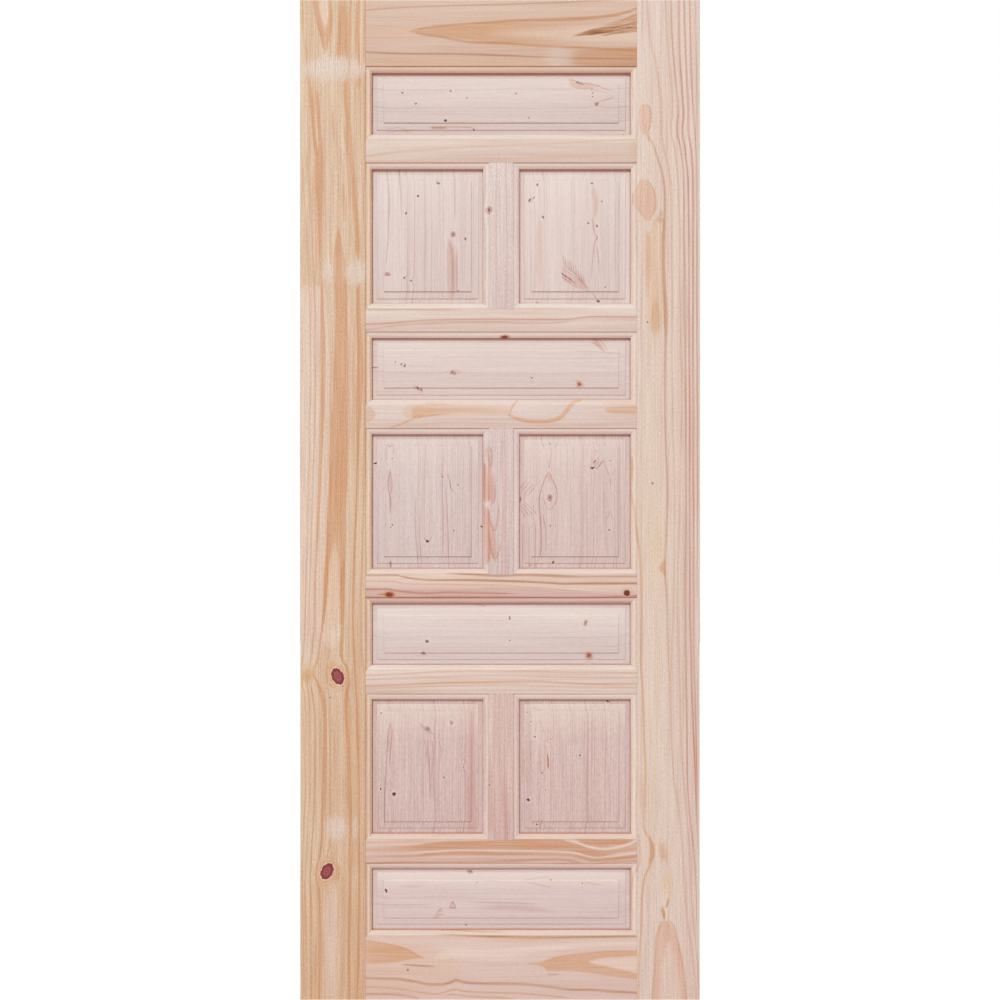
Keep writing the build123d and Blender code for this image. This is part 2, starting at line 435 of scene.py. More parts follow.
    # Streaks, patches and knots that this board shows
    share_of_length = add(tree, "ShaderNodeMath", {0: along, 1: 1 / length},
                          operation="MULTIPLY").outputs[0]
    worn = add(tree, "ShaderNodeMapRange", {"Value": noise["strand"], **STRANDS}).outputs[0]
    for mark in figure:
        if isinstance(mark, Knot):
            rings = KNOTS[mark.kind]
            ramp = add(tree, "ShaderNodeValToRGB", {0: away[mark]})
            stops = ramp.color_ramp.elements
            for place, hue, strength in rings[1:-1]:
                stops.new(place)
            for stop, (place, hue, strength) in zip(stops, rings):
                stop.position = place
                stop.color = (*linear(hue)[:3], strength)
            amount, tint = ramp.outputs["Alpha"], ramp.outputs["Color"]
        else:
            if isinstance(mark, Streak):
                path = np.array([(*point, 1.0)[:4] for point in mark.path])
                local = PIXEL * (path[:, :2] - corner)
                run, side = (local[:, 1], local[:, 0]) if upright else (local[:, 0], local[:, 1])
                curve = add(tree, "ShaderNodeRGBCurve", {"Color": share_of_length})
                channels = (
                    (side + CURVE_MARGIN) / CURVE_ACROSS,
                    PIXEL * path[:, 2] / CURVE_HALF_WIDTH,
                    np.where(path[:, 2] > 0, mark.strength * path[:, 3], 0.0),
                )
                for channel, values in zip(curve.mapping.curves, channels):
                    points = sorted(zip((run / length).tolist(), values.tolist()))
                    for point in points[2:]:
                        channel.points.new(*point)
                    for handle, point in zip(channel.points, points):
                        handle.location = point
                        handle.handle_type = "AUTO_CLAMPED"
                curve.mapping.update()
                share = add(tree, "ShaderNodeGroup",
                            {"Across": frayed["streak"], "Curve": curve.outputs[0], "Soft": PIXEL * mark.soft},
                            node_tree=streak_share)
            else:
                share = add(tree, "ShaderNodeMapRange",
                            {"Value": away[mark], "From Min": 1 - mark.soft, "From Max": 1 + mark.soft,
                             "To Min": mark.strength, "To Max": 0.0}, interpolation_type="SMOOTHSTEP")
            amount = add(tree, "ShaderNodeMath", {0: share.outputs[0], 1: worn}, operation="MULTIPLY",
                         use_clamp=True).outputs[0]
            tint = linear(mark.colour)
        colour = add(tree, "ShaderNodeMix", {"Factor": amount, 6: colour, 7: tint},
                     data_type="RGBA").outputs[2]

    # Staves differ a little in shade, and the cut fibres show as flecks
    speckled = add(tree, "ShaderNodeMath", {0: fibre, 1: noise["fleck"]}, operation="ADD").outputs[0]
    shades = [add(tree, "ShaderNodeMapRange",
                  {"Value": speckled, "To Min": FLECK_MEAN - grit, "To Max": FLECK_MEAN + grit, **FLECKS})]
    if stave:
        shades.insert(0, add(tree, "ShaderNodeMapRange", {"Value": chance, **STAVE_SHADES}))
    for shade in shades:
        colour = add(tree, "ShaderNodeMix", {"Factor": 1.0, 6: colour, 7: shade.outputs[0]}, data_type="RGBA",
                     blend_type="MULTIPLY").outputs[2]

    # The fillet by the panel is cut square to the face; it gets painted shade in a redder brown, and a panel
    # gets the same painted shade in the corner under the fillet, where wood throws light back at wood. The
    # ovolo of a moulding and the upper bevel of a panel get a painted highlight in cream, more so on the
    # lower panels. End grain drinks in light.
    facing = add(tree, "ShaderNodeSeparateXYZ", {0: coordinates.outputs["Normal"]})
    aside = add(tree, "ShaderNodeVectorMath", {0: flat, 1: half_size}, operation="SUBTRACT")
    spread = add(tree, "ShaderNodeVectorMath", {0: aside.outputs[0]}, operation="ABSOLUTE")
    beyond = add(tree, "ShaderNodeVectorMath", {0: spread.outputs[0], 1: half_size}, operation="SUBTRACT")
    past = add(tree, "ShaderNodeSeparateXYZ", {0: beyond.outputs[0]})
    past_face = add(tree, "ShaderNodeMath", {0: past.outputs["X"], 1: past.outputs["Y"]},
                    operation="MAXIMUM").outputs[0]
    if stave:
        highlight = add(tree, "ShaderNodeMapRange",
                    {"Value": facing.outputs["Z"], "To Max": bevel, **UPPER_BEVEL_HIGHLIGHT})
        corner_shade = add(tree, "ShaderNodeMapRange", {"Value": past_face, **CORNER_SHADE_BY_FILLET},
                      interpolation_type="SMOOTHSTEP")
    else:
        crest = add(tree, "ShaderNodeMapRange", {"Value": past_face, **CROWN_BEGINS}).outputs[0]
        brink = add(tree, "ShaderNodeMapRange", {"Value": past_face, **CROWN_ENDS}).outputs[0]
        highlight = add(tree, "ShaderNodeMath", {0: crest, 1: brink}, operation="MULTIPLY")
        frontal = add(tree, "ShaderNodeMath", {0: facing.outputs["Y"]}, operation="ABSOLUTE").outputs[0]
        square = add(tree, "ShaderNodeMapRange", {"Value": frontal, **SQUARE_TO_FACE}).outputs[0]
        fillet = add(tree, "ShaderNodeMath", {0: past_face, 1: STICKING / 2}, operation="GREATER_THAN")
        corner_shade = add(tree, "ShaderNodeMath", {0: fillet.outputs[0], 1: square}, operation="MULTIPLY")
    lengthwise = add(tree, "ShaderNodeMath", {0: facing.outputs["Z" if upright else "X"]},
                     operation="ABSOLUTE")
    sawn = add(tree, "ShaderNodeMapRange", {"Value": lengthwise.outputs[0], **SAWN_ENDS})
    for amount, tint in ((highlight, PAINTED_HIGHLIGHT), (corner_shade, PAINTED_CORNER_SHADE), (sawn, END_GRAIN)):
        colour = add(tree, "ShaderNodeMix", {"Factor": amount.outputs[0], 6: colour, 7: linear(tint)},
                     data_type="RGBA").outputs[2]

    roughness = add(tree, "ShaderNodeMapRange", {"Value": fibre, **ROUGHNESS}).outputs[0]
    relief = add(tree, "ShaderNodeMath", {0: latewood, 1: LATEWOOD_RELIEF, 2: fibre},
                 operation="MULTIPLY_ADD").outputs[0]
    bump = add(tree, "ShaderNodeBump",
               {"Strength": RELIEF_STRENGTH, "Distance": RELIEF_HEIGHT * MM, "Height": relief})
    shader = add(tree, "ShaderNodeBsdfPrincipled",
                 {"Base Color": colour, "Roughness": roughness, "IOR": WOOD_IOR,
                  "Specular IOR Level": WOOD_SPECULAR, "Normal": bump.outputs[0]})
    add(tree, "ShaderNodeOutputMaterial", {"Surface": shader.outputs[0]})
    return material


# Colours of the wood
CREAM = "#e6d0bb"
SAP = "#e3ccbf"
PALE = "#ead7c8"
LAP = "#dfccc0"
BAND = "#d09c76"
LINE = "#c98f63"
REDDISH = "#c99578"
TAN = "#d9b295"
FAWN = "#cda592"
BLUSH = "#d3ab9a"
PEACH = "#d6a994"
SALMON = "#cf9a86"
BISCUIT = "#c9987c"
CARAMEL = "#cc9a72"
COPPER = "#c8926f"
AMBER = "#c58a58"
ORANGE = "#cf9d76"
DEEP_ORANGE = "#c58d62"
CLAY = "#c98c72"
BROWN = "#b98463"
UMBER = "#8c5e48"
SIENNA = "#8f5a3a"
CHESTNUT = "#7d4726"
RESIN = "#b0744a"
RED = "#c08f82"
BRICK = "#b58070"
TERRACOTTA = "#c48d79"
OVAL = "#d9ae96"
RIM = "#c39676"
ROSE = "#cfa599"
MAUVE = "#ad8288"
HONEY = "#d6aa8b"
DARK_RED = "#b9776a"
DARK = "#84484a"
THREAD = "#b48a82"

# Where each board's face begins in the picture: its top left corner. A panel begins a moulding further in.
STILE_LEFT, STILE_RIGHT = 300, 637.5
RAIL_LEFT = 366
ROW_TOPS = (65.7, 164.5, 333, 427, 595, 691.5, 862)
RAIL_TOPS = (141, 311, 405, 573, 669, 839)
FOOT_TOP = 938
MUNTIN_LEFT, MUNTIN_RIGHT = 489.5, 513.5
SIGHT = STICKING / PIXEL

FIGURES = {}

FIGURES["hinge_stile"] = [
    Streak(BAND, 0.3, 6.0, [(332, 870, 0), (332, 890, 24), (332, 930, 32), (332, 1000, 32)]),
    # paler sapwood along the edge, and a warmer side below
    Streak(SAP, 0.65, 4.0, [(312, 282, 0), (313, 300, 14), (314, 420, 15), (313, 520, 15), (312, 600, 14),
        (311, 645, 11), (310, 668, 0)]),
    Streak(BAND, 0.45, 2.5, [(354, 700, 0), (353.5, 720, 6), (353.5, 780, 7.5), (354, 850, 7),
        (354, 880, 0)]),
    # the point of a growth cone at the top, and the orange beside it
    Streak(BAND, 0.5, 1.0, [(302, 0, 2.0), (302.5, 18, 2.0), (303, 30, 1.2), (304, 38, 0)]),
    Streak(BAND, 0.85, 1.2, [(320.5, 0, 9.5), (323, 12, 9), (324.5, 24, 7.5), (325.5, 36, 5),
        (325.5, 46, 2.6), (325, 54, 0)]),
    Streak(PALE, 0.6, 1.5, [(323.5, 0, 5), (324, 10, 4.5), (324.8, 20, 3), (325, 30, 0)]),
    Streak(REDDISH, 0.6, 0.9, [(315.5, 6, 0), (316.8, 16, 1.2), (318.5, 25, 1.5), (321, 35, 1.5),
        (323, 45, 1.2), (324.5, 53, 0)]),
    Streak(BAND, 0.85, 1.2, [(343, 0, 4.0, 0.3), (343.5, 12, 4.6), (344, 28, 5.5), (342.5, 42, 5.5),
        (341, 52, 4.5), (339, 59, 0)]),
    Streak(LINE, 0.6, 0.7, [(346, 8, 0), (346, 22, 0.9), (345.5, 40, 1.1), (346.5, 52, 1.0),
        (347.5, 60, 0)]),
    Streak(LINE, 0.45, 0.7, [(340.5, 14, 0), (340, 26, 0.9), (339.5, 40, 1.0), (339, 52, 0)]),
    Streak(BAND, 0.75, 0.9, [(351, 0, 0.8), (349.8, 16, 1.4), (349.5, 34, 1.8), (348, 48, 1.8),
        (347.5, 60, 1.2), (347.5, 74, 0.8), (346, 84, 0)]),
    Streak(BAND, 0.8, 0.9, [(358.5, 0, 1.6), (357.6, 20, 2.0), (357.4, 44, 2.0), (358, 58, 1.2),
        (359.3, 76, 0.8), (358.5, 84, 2.5), (357, 89, 0)]),
    Streak(LINE, 0.5, 0.7, [(359.2, 0, 0.7), (359, 40, 0.8), (359.6, 70, 0.8), (360, 90, 0.7),
        (360.5, 120, 0.7), (361, 145, 0.6), (362, 190, 0)]),
    Streak(BAND, 0.7, 0.9, [(364.6, 0, 1.2), (364.6, 60, 1.5), (364.3, 110, 1.2), (364.8, 160, 1.2),
        (363.6, 200, 0.9), (365, 250, 0.9), (365.2, 380, 1.2), (364.5, 460, 1.2), (363.5, 500, 1.0),
        (362.6, 541, 0.9), (361.3, 575, 1.0), (360.7, 610, 0.9), (361.4, 647, 0.9), (363.2, 664, 1.0),
        (364.3, 677, 1.1), (364.5, 760, 1.1), (364.3, 840, 0.9), (364, 900, 0.9), (363.5, 1000, 0.9)]),
    # long orange band left of the middle, which thins to a line by the whorl
    Streak(BAND, 0.75, 0.9, [(303.4, 34, 0), (305, 43, 1.0), (306.8, 55, 1.1), (307.3, 68, 1.2),
        (308.4, 80, 1.4), (310.4, 90, 1.8), (311.7, 104, 2.2), (312.6, 118, 2.0), (314, 134, 2.0),
        (316, 150, 2.2), (317.5, 160, 0)]),
    Streak(LINE, 0.55, 0.8, [(309.5, 88, 0), (310.6, 96, 1.0), (312, 112, 1.0), (313.5, 130, 1.0),
        (315.6, 146, 1.2), (317.6, 160, 1.4), (318.5, 175, 1.6), (318.5, 195, 1.8), (319.3, 211, 1.2),
        (319.4, 228, 0.8), (319.5, 245, 0)]),
    Streak(BAND, 0.85, 1.0, [(316.5, 88, 0), (317.3, 98, 1.6), (318.2, 112, 1.8), (319.3, 128, 1.7),
        (320.2, 142, 1.6), (319.5, 155, 3.6), (318.5, 170, 4.4), (318.5, 185, 4.0), (319.5, 198, 3.2),
        (320, 211, 2.8), (319.8, 228, 2.3), (319.8, 248, 2.0), (320.2, 262, 1.2, 0.6),
        (321, 278, 1.2, 0.6), (321.8, 290, 1.5), (322.3, 315, 2.0), (322.8, 340, 2.4), (323, 370, 2.5),
        (322.7, 395, 2.4), (322, 420, 2.2), (321.2, 445, 1.9), (320, 469, 1.7), (318.9, 500, 1.6),
        (317.9, 525, 1.3), (316.7, 546, 1.2), (315.8, 566, 1.1), (315, 583, 1.2), (314.6, 599, 1.1),
        (314.1, 630, 1.0), (312.5, 647, 1.0), (311.3, 657, 0.9), (309.5, 667, 0)]),
    Streak(REDDISH, 0.5, 0.8, [(318.5, 100, 0), (319, 112, 0.9), (320, 130, 0.9), (321.5, 150, 1.0),
        (322, 180, 1.0), (321.5, 205, 0.8), (321, 225, 0)]),
    Streak(BAND, 0.4, 1.2, [(311, 168, 0), (311.5, 180, 2.2), (312.5, 192, 2.4), (313.5, 204, 1.2),
        (314, 214, 0)]),
    # long orange band right of the middle
    Streak(BAND, 0.85, 1.0, [(346, 80, 2.5, 0.7), (346.5, 90, 2.6), (347, 104, 3.0), (348, 118, 2.6),
        (349, 132, 3.0), (350, 148, 3.0), (351.4, 160, 2.2), (353.4, 178, 2.4), (354.6, 196, 2.6),
        (355.4, 212, 2.5), (356.5, 228, 2.5), (357.2, 248, 2.5), (357.6, 260, 1.2, 0.5),
        (358, 280, 1.2, 0.5), (358.6, 287, 2.2), (358.6, 315, 2.4), (360, 345, 2.7), (360.5, 370, 3.2),
        (359.8, 395, 2.9), (358.9, 420, 1.9), (357.9, 445, 1.4), (357.5, 469, 1.3), (356.8, 500, 1.2),
        (355.4, 525, 1.1), (354.4, 550, 1.2), (353.8, 580, 1.2), (353.3, 610, 1.1), (353.1, 635, 1.1),
        (353.5, 648, 1.2), (354.8, 663, 1.1), (355.6, 680, 1.1), (356.6, 698, 1.0), (357.3, 720, 1.0),
        (358.4, 760, 1.1), (359, 800, 1.2), (359.4, 840, 1.0), (359.4, 890, 1.1), (358.9, 920, 1.3),
        (358.5, 960, 1.1), (357.4, 986, 1.2), (357, 1000, 1.2)]),
    Streak(LINE, 0.5, 0.7, [(343.5, 118, 0), (344.5, 132, 0.9), (346.5, 150, 1.1), (347.8, 165, 0.9),
        (348.8, 180, 0.9), (350, 200, 0.8), (351.5, 220, 0)]),
    Streak(LINE, 0.6, 0.7, [(355.3, 196, 0), (356.5, 212, 0.9), (357.5, 230, 1.0), (358, 250, 0.9),
        (357, 270, 0.4), (357, 290, 1.0), (358, 330, 1.1), (358.4, 360, 1.1), (358, 400, 1.0),
        (357.6, 430, 1.0), (357.2, 470, 0.9), (356.4, 505, 0.8), (354, 560, 0.8), (353.4, 620, 0.8),
        (354.6, 663, 0.8), (356.4, 700, 0.8), (358.2, 760, 0.8), (359.2, 840, 0.8), (358.9, 920, 0.9),
        (357, 1000, 0.9)]),
    Streak(BAND, 0.4, 0.8, [(352, 335, 0), (352.8, 345, 0.9), (353, 358, 0.9), (352.6, 372, 0.8),
        (352.8, 400, 0.6), (352.6, 450, 0.6), (351.5, 470, 0)]),
    # short strands in the middle, and the tall cone below them
    Streak(REDDISH, 0.5, 0.8, [(332.2, 108, 0), (332.6, 116, 1.0), (333.2, 126, 1.2), (333.6, 136, 0.9),
        (334, 146, 0)]),
    Streak(REDDISH, 0.5, 0.8, [(340.6, 144, 0), (340.6, 152, 1.0), (341, 162, 1.0), (341.6, 172, 0)]),
    Streak(BAND, 0.55, 1.2, [(342.6, 180, 0), (343.5, 192, 1.6), (344.5, 204, 2.2), (344.8, 214, 2.0),
        (345, 223, 0)]),
    Streak(BAND, 0.9, 0.8, [(338.6, 225, 0), (338.6, 232, 1.4), (338.6, 241, 3.2), (338.6, 250, 4.6),
        (339.3, 262, 5.8, 0.8), (340.2, 280, 6.5, 0.8), (340.7, 288, 6.3), (340.9, 310, 6.1),
        (341.3, 340, 6.6), (341, 370, 7.2), (340.2, 395, 7.6), (339.5, 412, 8.2), (339, 428, 8.8),
        (339, 445, 9.2), (338.5, 461, 9.2), (338.3, 478, 9.2), (337, 500, 9.4), (336.3, 525, 9.6),
        (335.5, 550, 9.8), (334.6, 566, 10.2), (334, 583, 10.6), (333.6, 600, 10.8), (333.2, 616, 11),
        (332.5, 630, 0)]),
    Streak(CREAM, 0.65, 1.4, [(334.5, 528, 0), (334.5, 541, 1.2, 0.5), (334.5, 553, 3.0, 0.8),
        (334.4, 566, 5.0), (333.9, 583, 5.6), (333.4, 600, 6.4), (332.5, 616, 8), (331.8, 634, 8.8),
        (331.5, 650, 0)]),
    Streak(LINE, 0.55, 0.7, [(344.5, 278, 0), (345.8, 288, 0.9), (346.3, 305, 0.9), (346.4, 330, 0.8),
        (347, 350, 0)]),
    Streak(LINE, 0.4, 0.9, [(337.5, 430, 0), (337.8, 450, 1.2), (338.6, 470, 1.0), (339, 490, 0)]),
    Streak(LINE, 0.4, 0.9, [(340.5, 440, 0), (341, 456, 1.0), (340, 480, 1.2), (340.5, 520, 1.4),
        (341, 545, 0)]),
    Streak(LINE, 0.4, 0.9, [(331, 455, 0), (330.5, 475, 1.0), (329.5, 500, 1.0), (328, 540, 1.0),
        (327, 560, 0)]),
    # both sides of the cone, which run on as lines round the knots
    Streak(LINE, 0.75, 0.8, [(327.5, 545, 0), (326.8, 566, 1.2), (326, 583, 1.6), (325.2, 600, 1.4),
        (323.6, 616, 1.2), (321.8, 630, 1.1), (320.1, 642, 1.0), (318.7, 653, 1.0), (317.4, 661, 0.9),
        (315.2, 666, 0.8), (313.4, 670, 0.8), (313.6, 675, 0.9), (315.8, 679, 1.2), (318.8, 686, 1.8),
        (322, 695, 2.2), (324, 705, 2.1), (324.8, 721, 1.9), (324.9, 740, 2.0), (324.8, 762, 2.1),
        (324.4, 785, 1.9), (323.3, 806, 1.8), (322.5, 822, 1.5), (321.9, 839, 1.5), (320.4, 851, 1.5),
        (317.9, 863, 1.2), (315.8, 874, 1.1), (317.4, 883, 1.2), (319.1, 895, 1.4), (319.9, 911, 1.4),
        (319.6, 936, 1.3), (319.1, 970, 1.2), (319, 1000, 1.2)]),
    Streak(LINE, 0.8, 0.8, [(343.5, 555, 0), (342.7, 570, 1.8), (342.4, 590, 2.2), (342.6, 612, 1.8),
        (342.5, 630, 1.7), (341.9, 642, 1.8), (341.2, 653, 1.8), (342.8, 661, 1.4), (346.8, 667, 1.2),
        (348.6, 675, 1.2), (348.6, 683, 1.5), (347, 692, 1.8), (346.3, 705, 1.8), (346.5, 721, 1.7),
        (347.7, 738, 1.7), (348.8, 762, 1.9), (349.4, 781, 1.9), (349.9, 801, 2.0), (350.6, 814, 1.5),
        (350.6, 828, 1.3), (350.2, 845, 1.3), (350.2, 862, 1.4), (350.1, 890, 1.2), (349.2, 908, 1.2),
        (349, 953, 1.2), (349, 978, 1.3), (348.6, 1000, 1.3)]),
    Streak(BAND, 0.3, 1.5, [(361, 590, 0), (359, 620, 2.0), (359, 660, 2.4), (360.6, 720, 2.4),
        (361.6, 800, 2.2), (362, 900, 2.4), (361, 1000, 2.6)]),
    Streak(BAND, 0.35, 2.0, [(344.5, 770, 0), (344, 790, 2.0), (344.5, 812, 0), (345, 846, 0),
        (344.8, 862, 2.4), (344.5, 880, 2.0), (344.5, 950, 2.6), (342.5, 985, 3.2), (342, 1000, 3.2)]),
    # fine lines at the edge, which swerve round the whorl
    Streak(REDDISH, 0.55, 0.6, [(301.7, 145, 0), (302.6, 165, 0.6), (303.2, 186, 0.7), (304.6, 199, 0.6),
        (305.9, 215, 0.6), (307, 245, 0.6), (308.4, 273, 0.6), (309.6, 298, 0.7), (310.3, 323, 0.7),
        (310.4, 370, 0.7), (310.3, 403, 0.7), (309.9, 428, 0.7), (309.5, 449, 0.6), (308.8, 469, 0.6),
        (308, 500, 0.7), (307.4, 533, 0.7), (306.6, 566, 0.7), (305.6, 591, 0.7), (304.8, 630, 0.7),
        (303.6, 651, 0.7), (302.1, 663, 0.6), (301.2, 669, 0)]),
    Streak(REDDISH, 0.6, 0.6, [(306.3, 145, 0), (307, 161, 0.7), (308.8, 186, 0.7), (310.9, 203, 0.7),
        (311.8, 228, 0.7), (312.4, 245, 0.7), (313.5, 273, 0.7), (314.6, 298, 0.8), (315.2, 323, 0.8),
        (315.2, 370, 0.8), (315, 403, 0.8), (314.5, 428, 0.7), (314.1, 449, 0.7), (313.2, 469, 0.7),
        (312.4, 500, 0.7), (311.7, 533, 0.7), (310.4, 566, 0.6), (309.6, 591, 0.6), (308.3, 630, 0.6),
        (307.1, 647, 0.6), (306.6, 658, 0)]),
    Streak(LINE, 0.5, 0.7, [(301.4, 681, 0), (302.4, 686, 0.7), (304.3, 694, 0.8), (305.8, 709, 0.8),
        (306.2, 725, 0.8), (305.2, 742, 0.7), (305.2, 762, 0.7), (305.5, 793, 0.8), (304.2, 818, 0.8),
        (303.4, 843, 0.8), (302.6, 868, 0.8), (302.4, 890, 0.9), (303.2, 920, 1.0), (303.4, 1000, 1.0)]),
    Streak(LINE, 0.5, 0.7, [(306.6, 683, 0), (307.6, 688, 0.7), (309.2, 701, 0.8), (309.6, 721, 0.7),
        (309.2, 750, 0.7), (309.6, 785, 0.7), (308.4, 810, 0.7), (307.1, 835, 0.7), (305.9, 859, 0.8),
        (305.1, 884, 0.9), (305.8, 925, 0.8), (306.3, 961, 0.8), (306.3, 1000, 0.8)]),
    Streak(LINE, 0.75, 0.7, [(310, 683, 0), (311.3, 688, 0.8), (313.3, 700, 0.9), (314.9, 717, 0.9),
        (315.1, 738, 0.9), (315, 765, 0.9), (314.6, 785, 0.9), (313.8, 810, 0.9), (312.8, 830, 0.9),
        (311.6, 847, 0.9), (310.8, 864, 0.9), (310, 880, 0.9), (310.5, 895, 0.9), (311.3, 911, 1.0),
        (311.3, 1000, 1.0)]),
    Streak(BAND, 0.3, 1.2, [(302, 860, 0), (302.5, 890, 2.0), (303, 940, 2.5), (303, 1000, 2.5)]),
    Streak("#cf9f7c", 0.7, 0.8, [(334.5, 661.5, 0), (330, 664, 1.4), (327.3, 668.5, 1.6),
        (326.5, 675, 1.6), (327.6, 681.5, 1.5), (331, 686, 1.3), (335, 688.4, 1.1), (339, 689.8, 0)]),
    Streak("#cf9f70", 0.8, 0.8, [(337.5, 862.5, 0), (338.6, 868, 2.2), (338, 874, 2.6), (336.5, 880, 2.6),
        (335, 883.5, 0)]),
    # a painted highlight down the ovolo of the moulding, fading lower down, and lines beside it
    Streak("#ecd4b8", 0.55, 0.6, [(368.6, 0, 0.9), (368.6, 440, 0.9), (368.6, 600, 0.9, 0.4),
        (368.6, 700, 0.9, 0.15), (368.6, 1000, 0.9, 0.15)]),
    Streak(REDDISH, 0.7, 0.6, [(367, 590, 0), (367, 612, 1.0), (366.8, 720, 1.0), (366.8, 935, 1.0),
        (366.8, 960, 0)]),
    Streak(REDDISH, 0.55, 0.5, [(370.2, 690, 0), (370.2, 712, 0.8), (370, 830, 0.8), (370, 925, 0.8),
        (370, 945, 0)]),
    # pale bands across, the whorl and the knots
    Patch(LAP, 0.8, 0.3, 333, 68.5, 34, 10.5),
    Patch(LAP, 0.75, 0.3, 356, 273, 11, 11.5),
    Patch(LAP, 0.6, 0.4, 327, 272, 6, 11),
    Patch(LAP, 0.75, 0.35, 336, 828, 11, 11.5),
    Patch(LAP, 0.5, 0.35, 355.5, 828, 3, 11),
    Patch(LAP, 0.5, 0.6, 332, 940, 6, 60),
    Patch("#cd9d6c", 0.75, 0.4, 307, 676, 6, 8, 20),
    Patch(PALE, 0.6, 0.4, 310.5, 671, 2.5, 1.6, 30),
    Knot("dead", 337.6, 676.4, 5.9, 8.7, -24, 9.0),
    Knot("dead", 327, 871.3, 5.9, 8.7, 28, 9.0),
    Knot("pin", 330.4, 697.4, 0.9, 1.0, 0, 1.0),
]
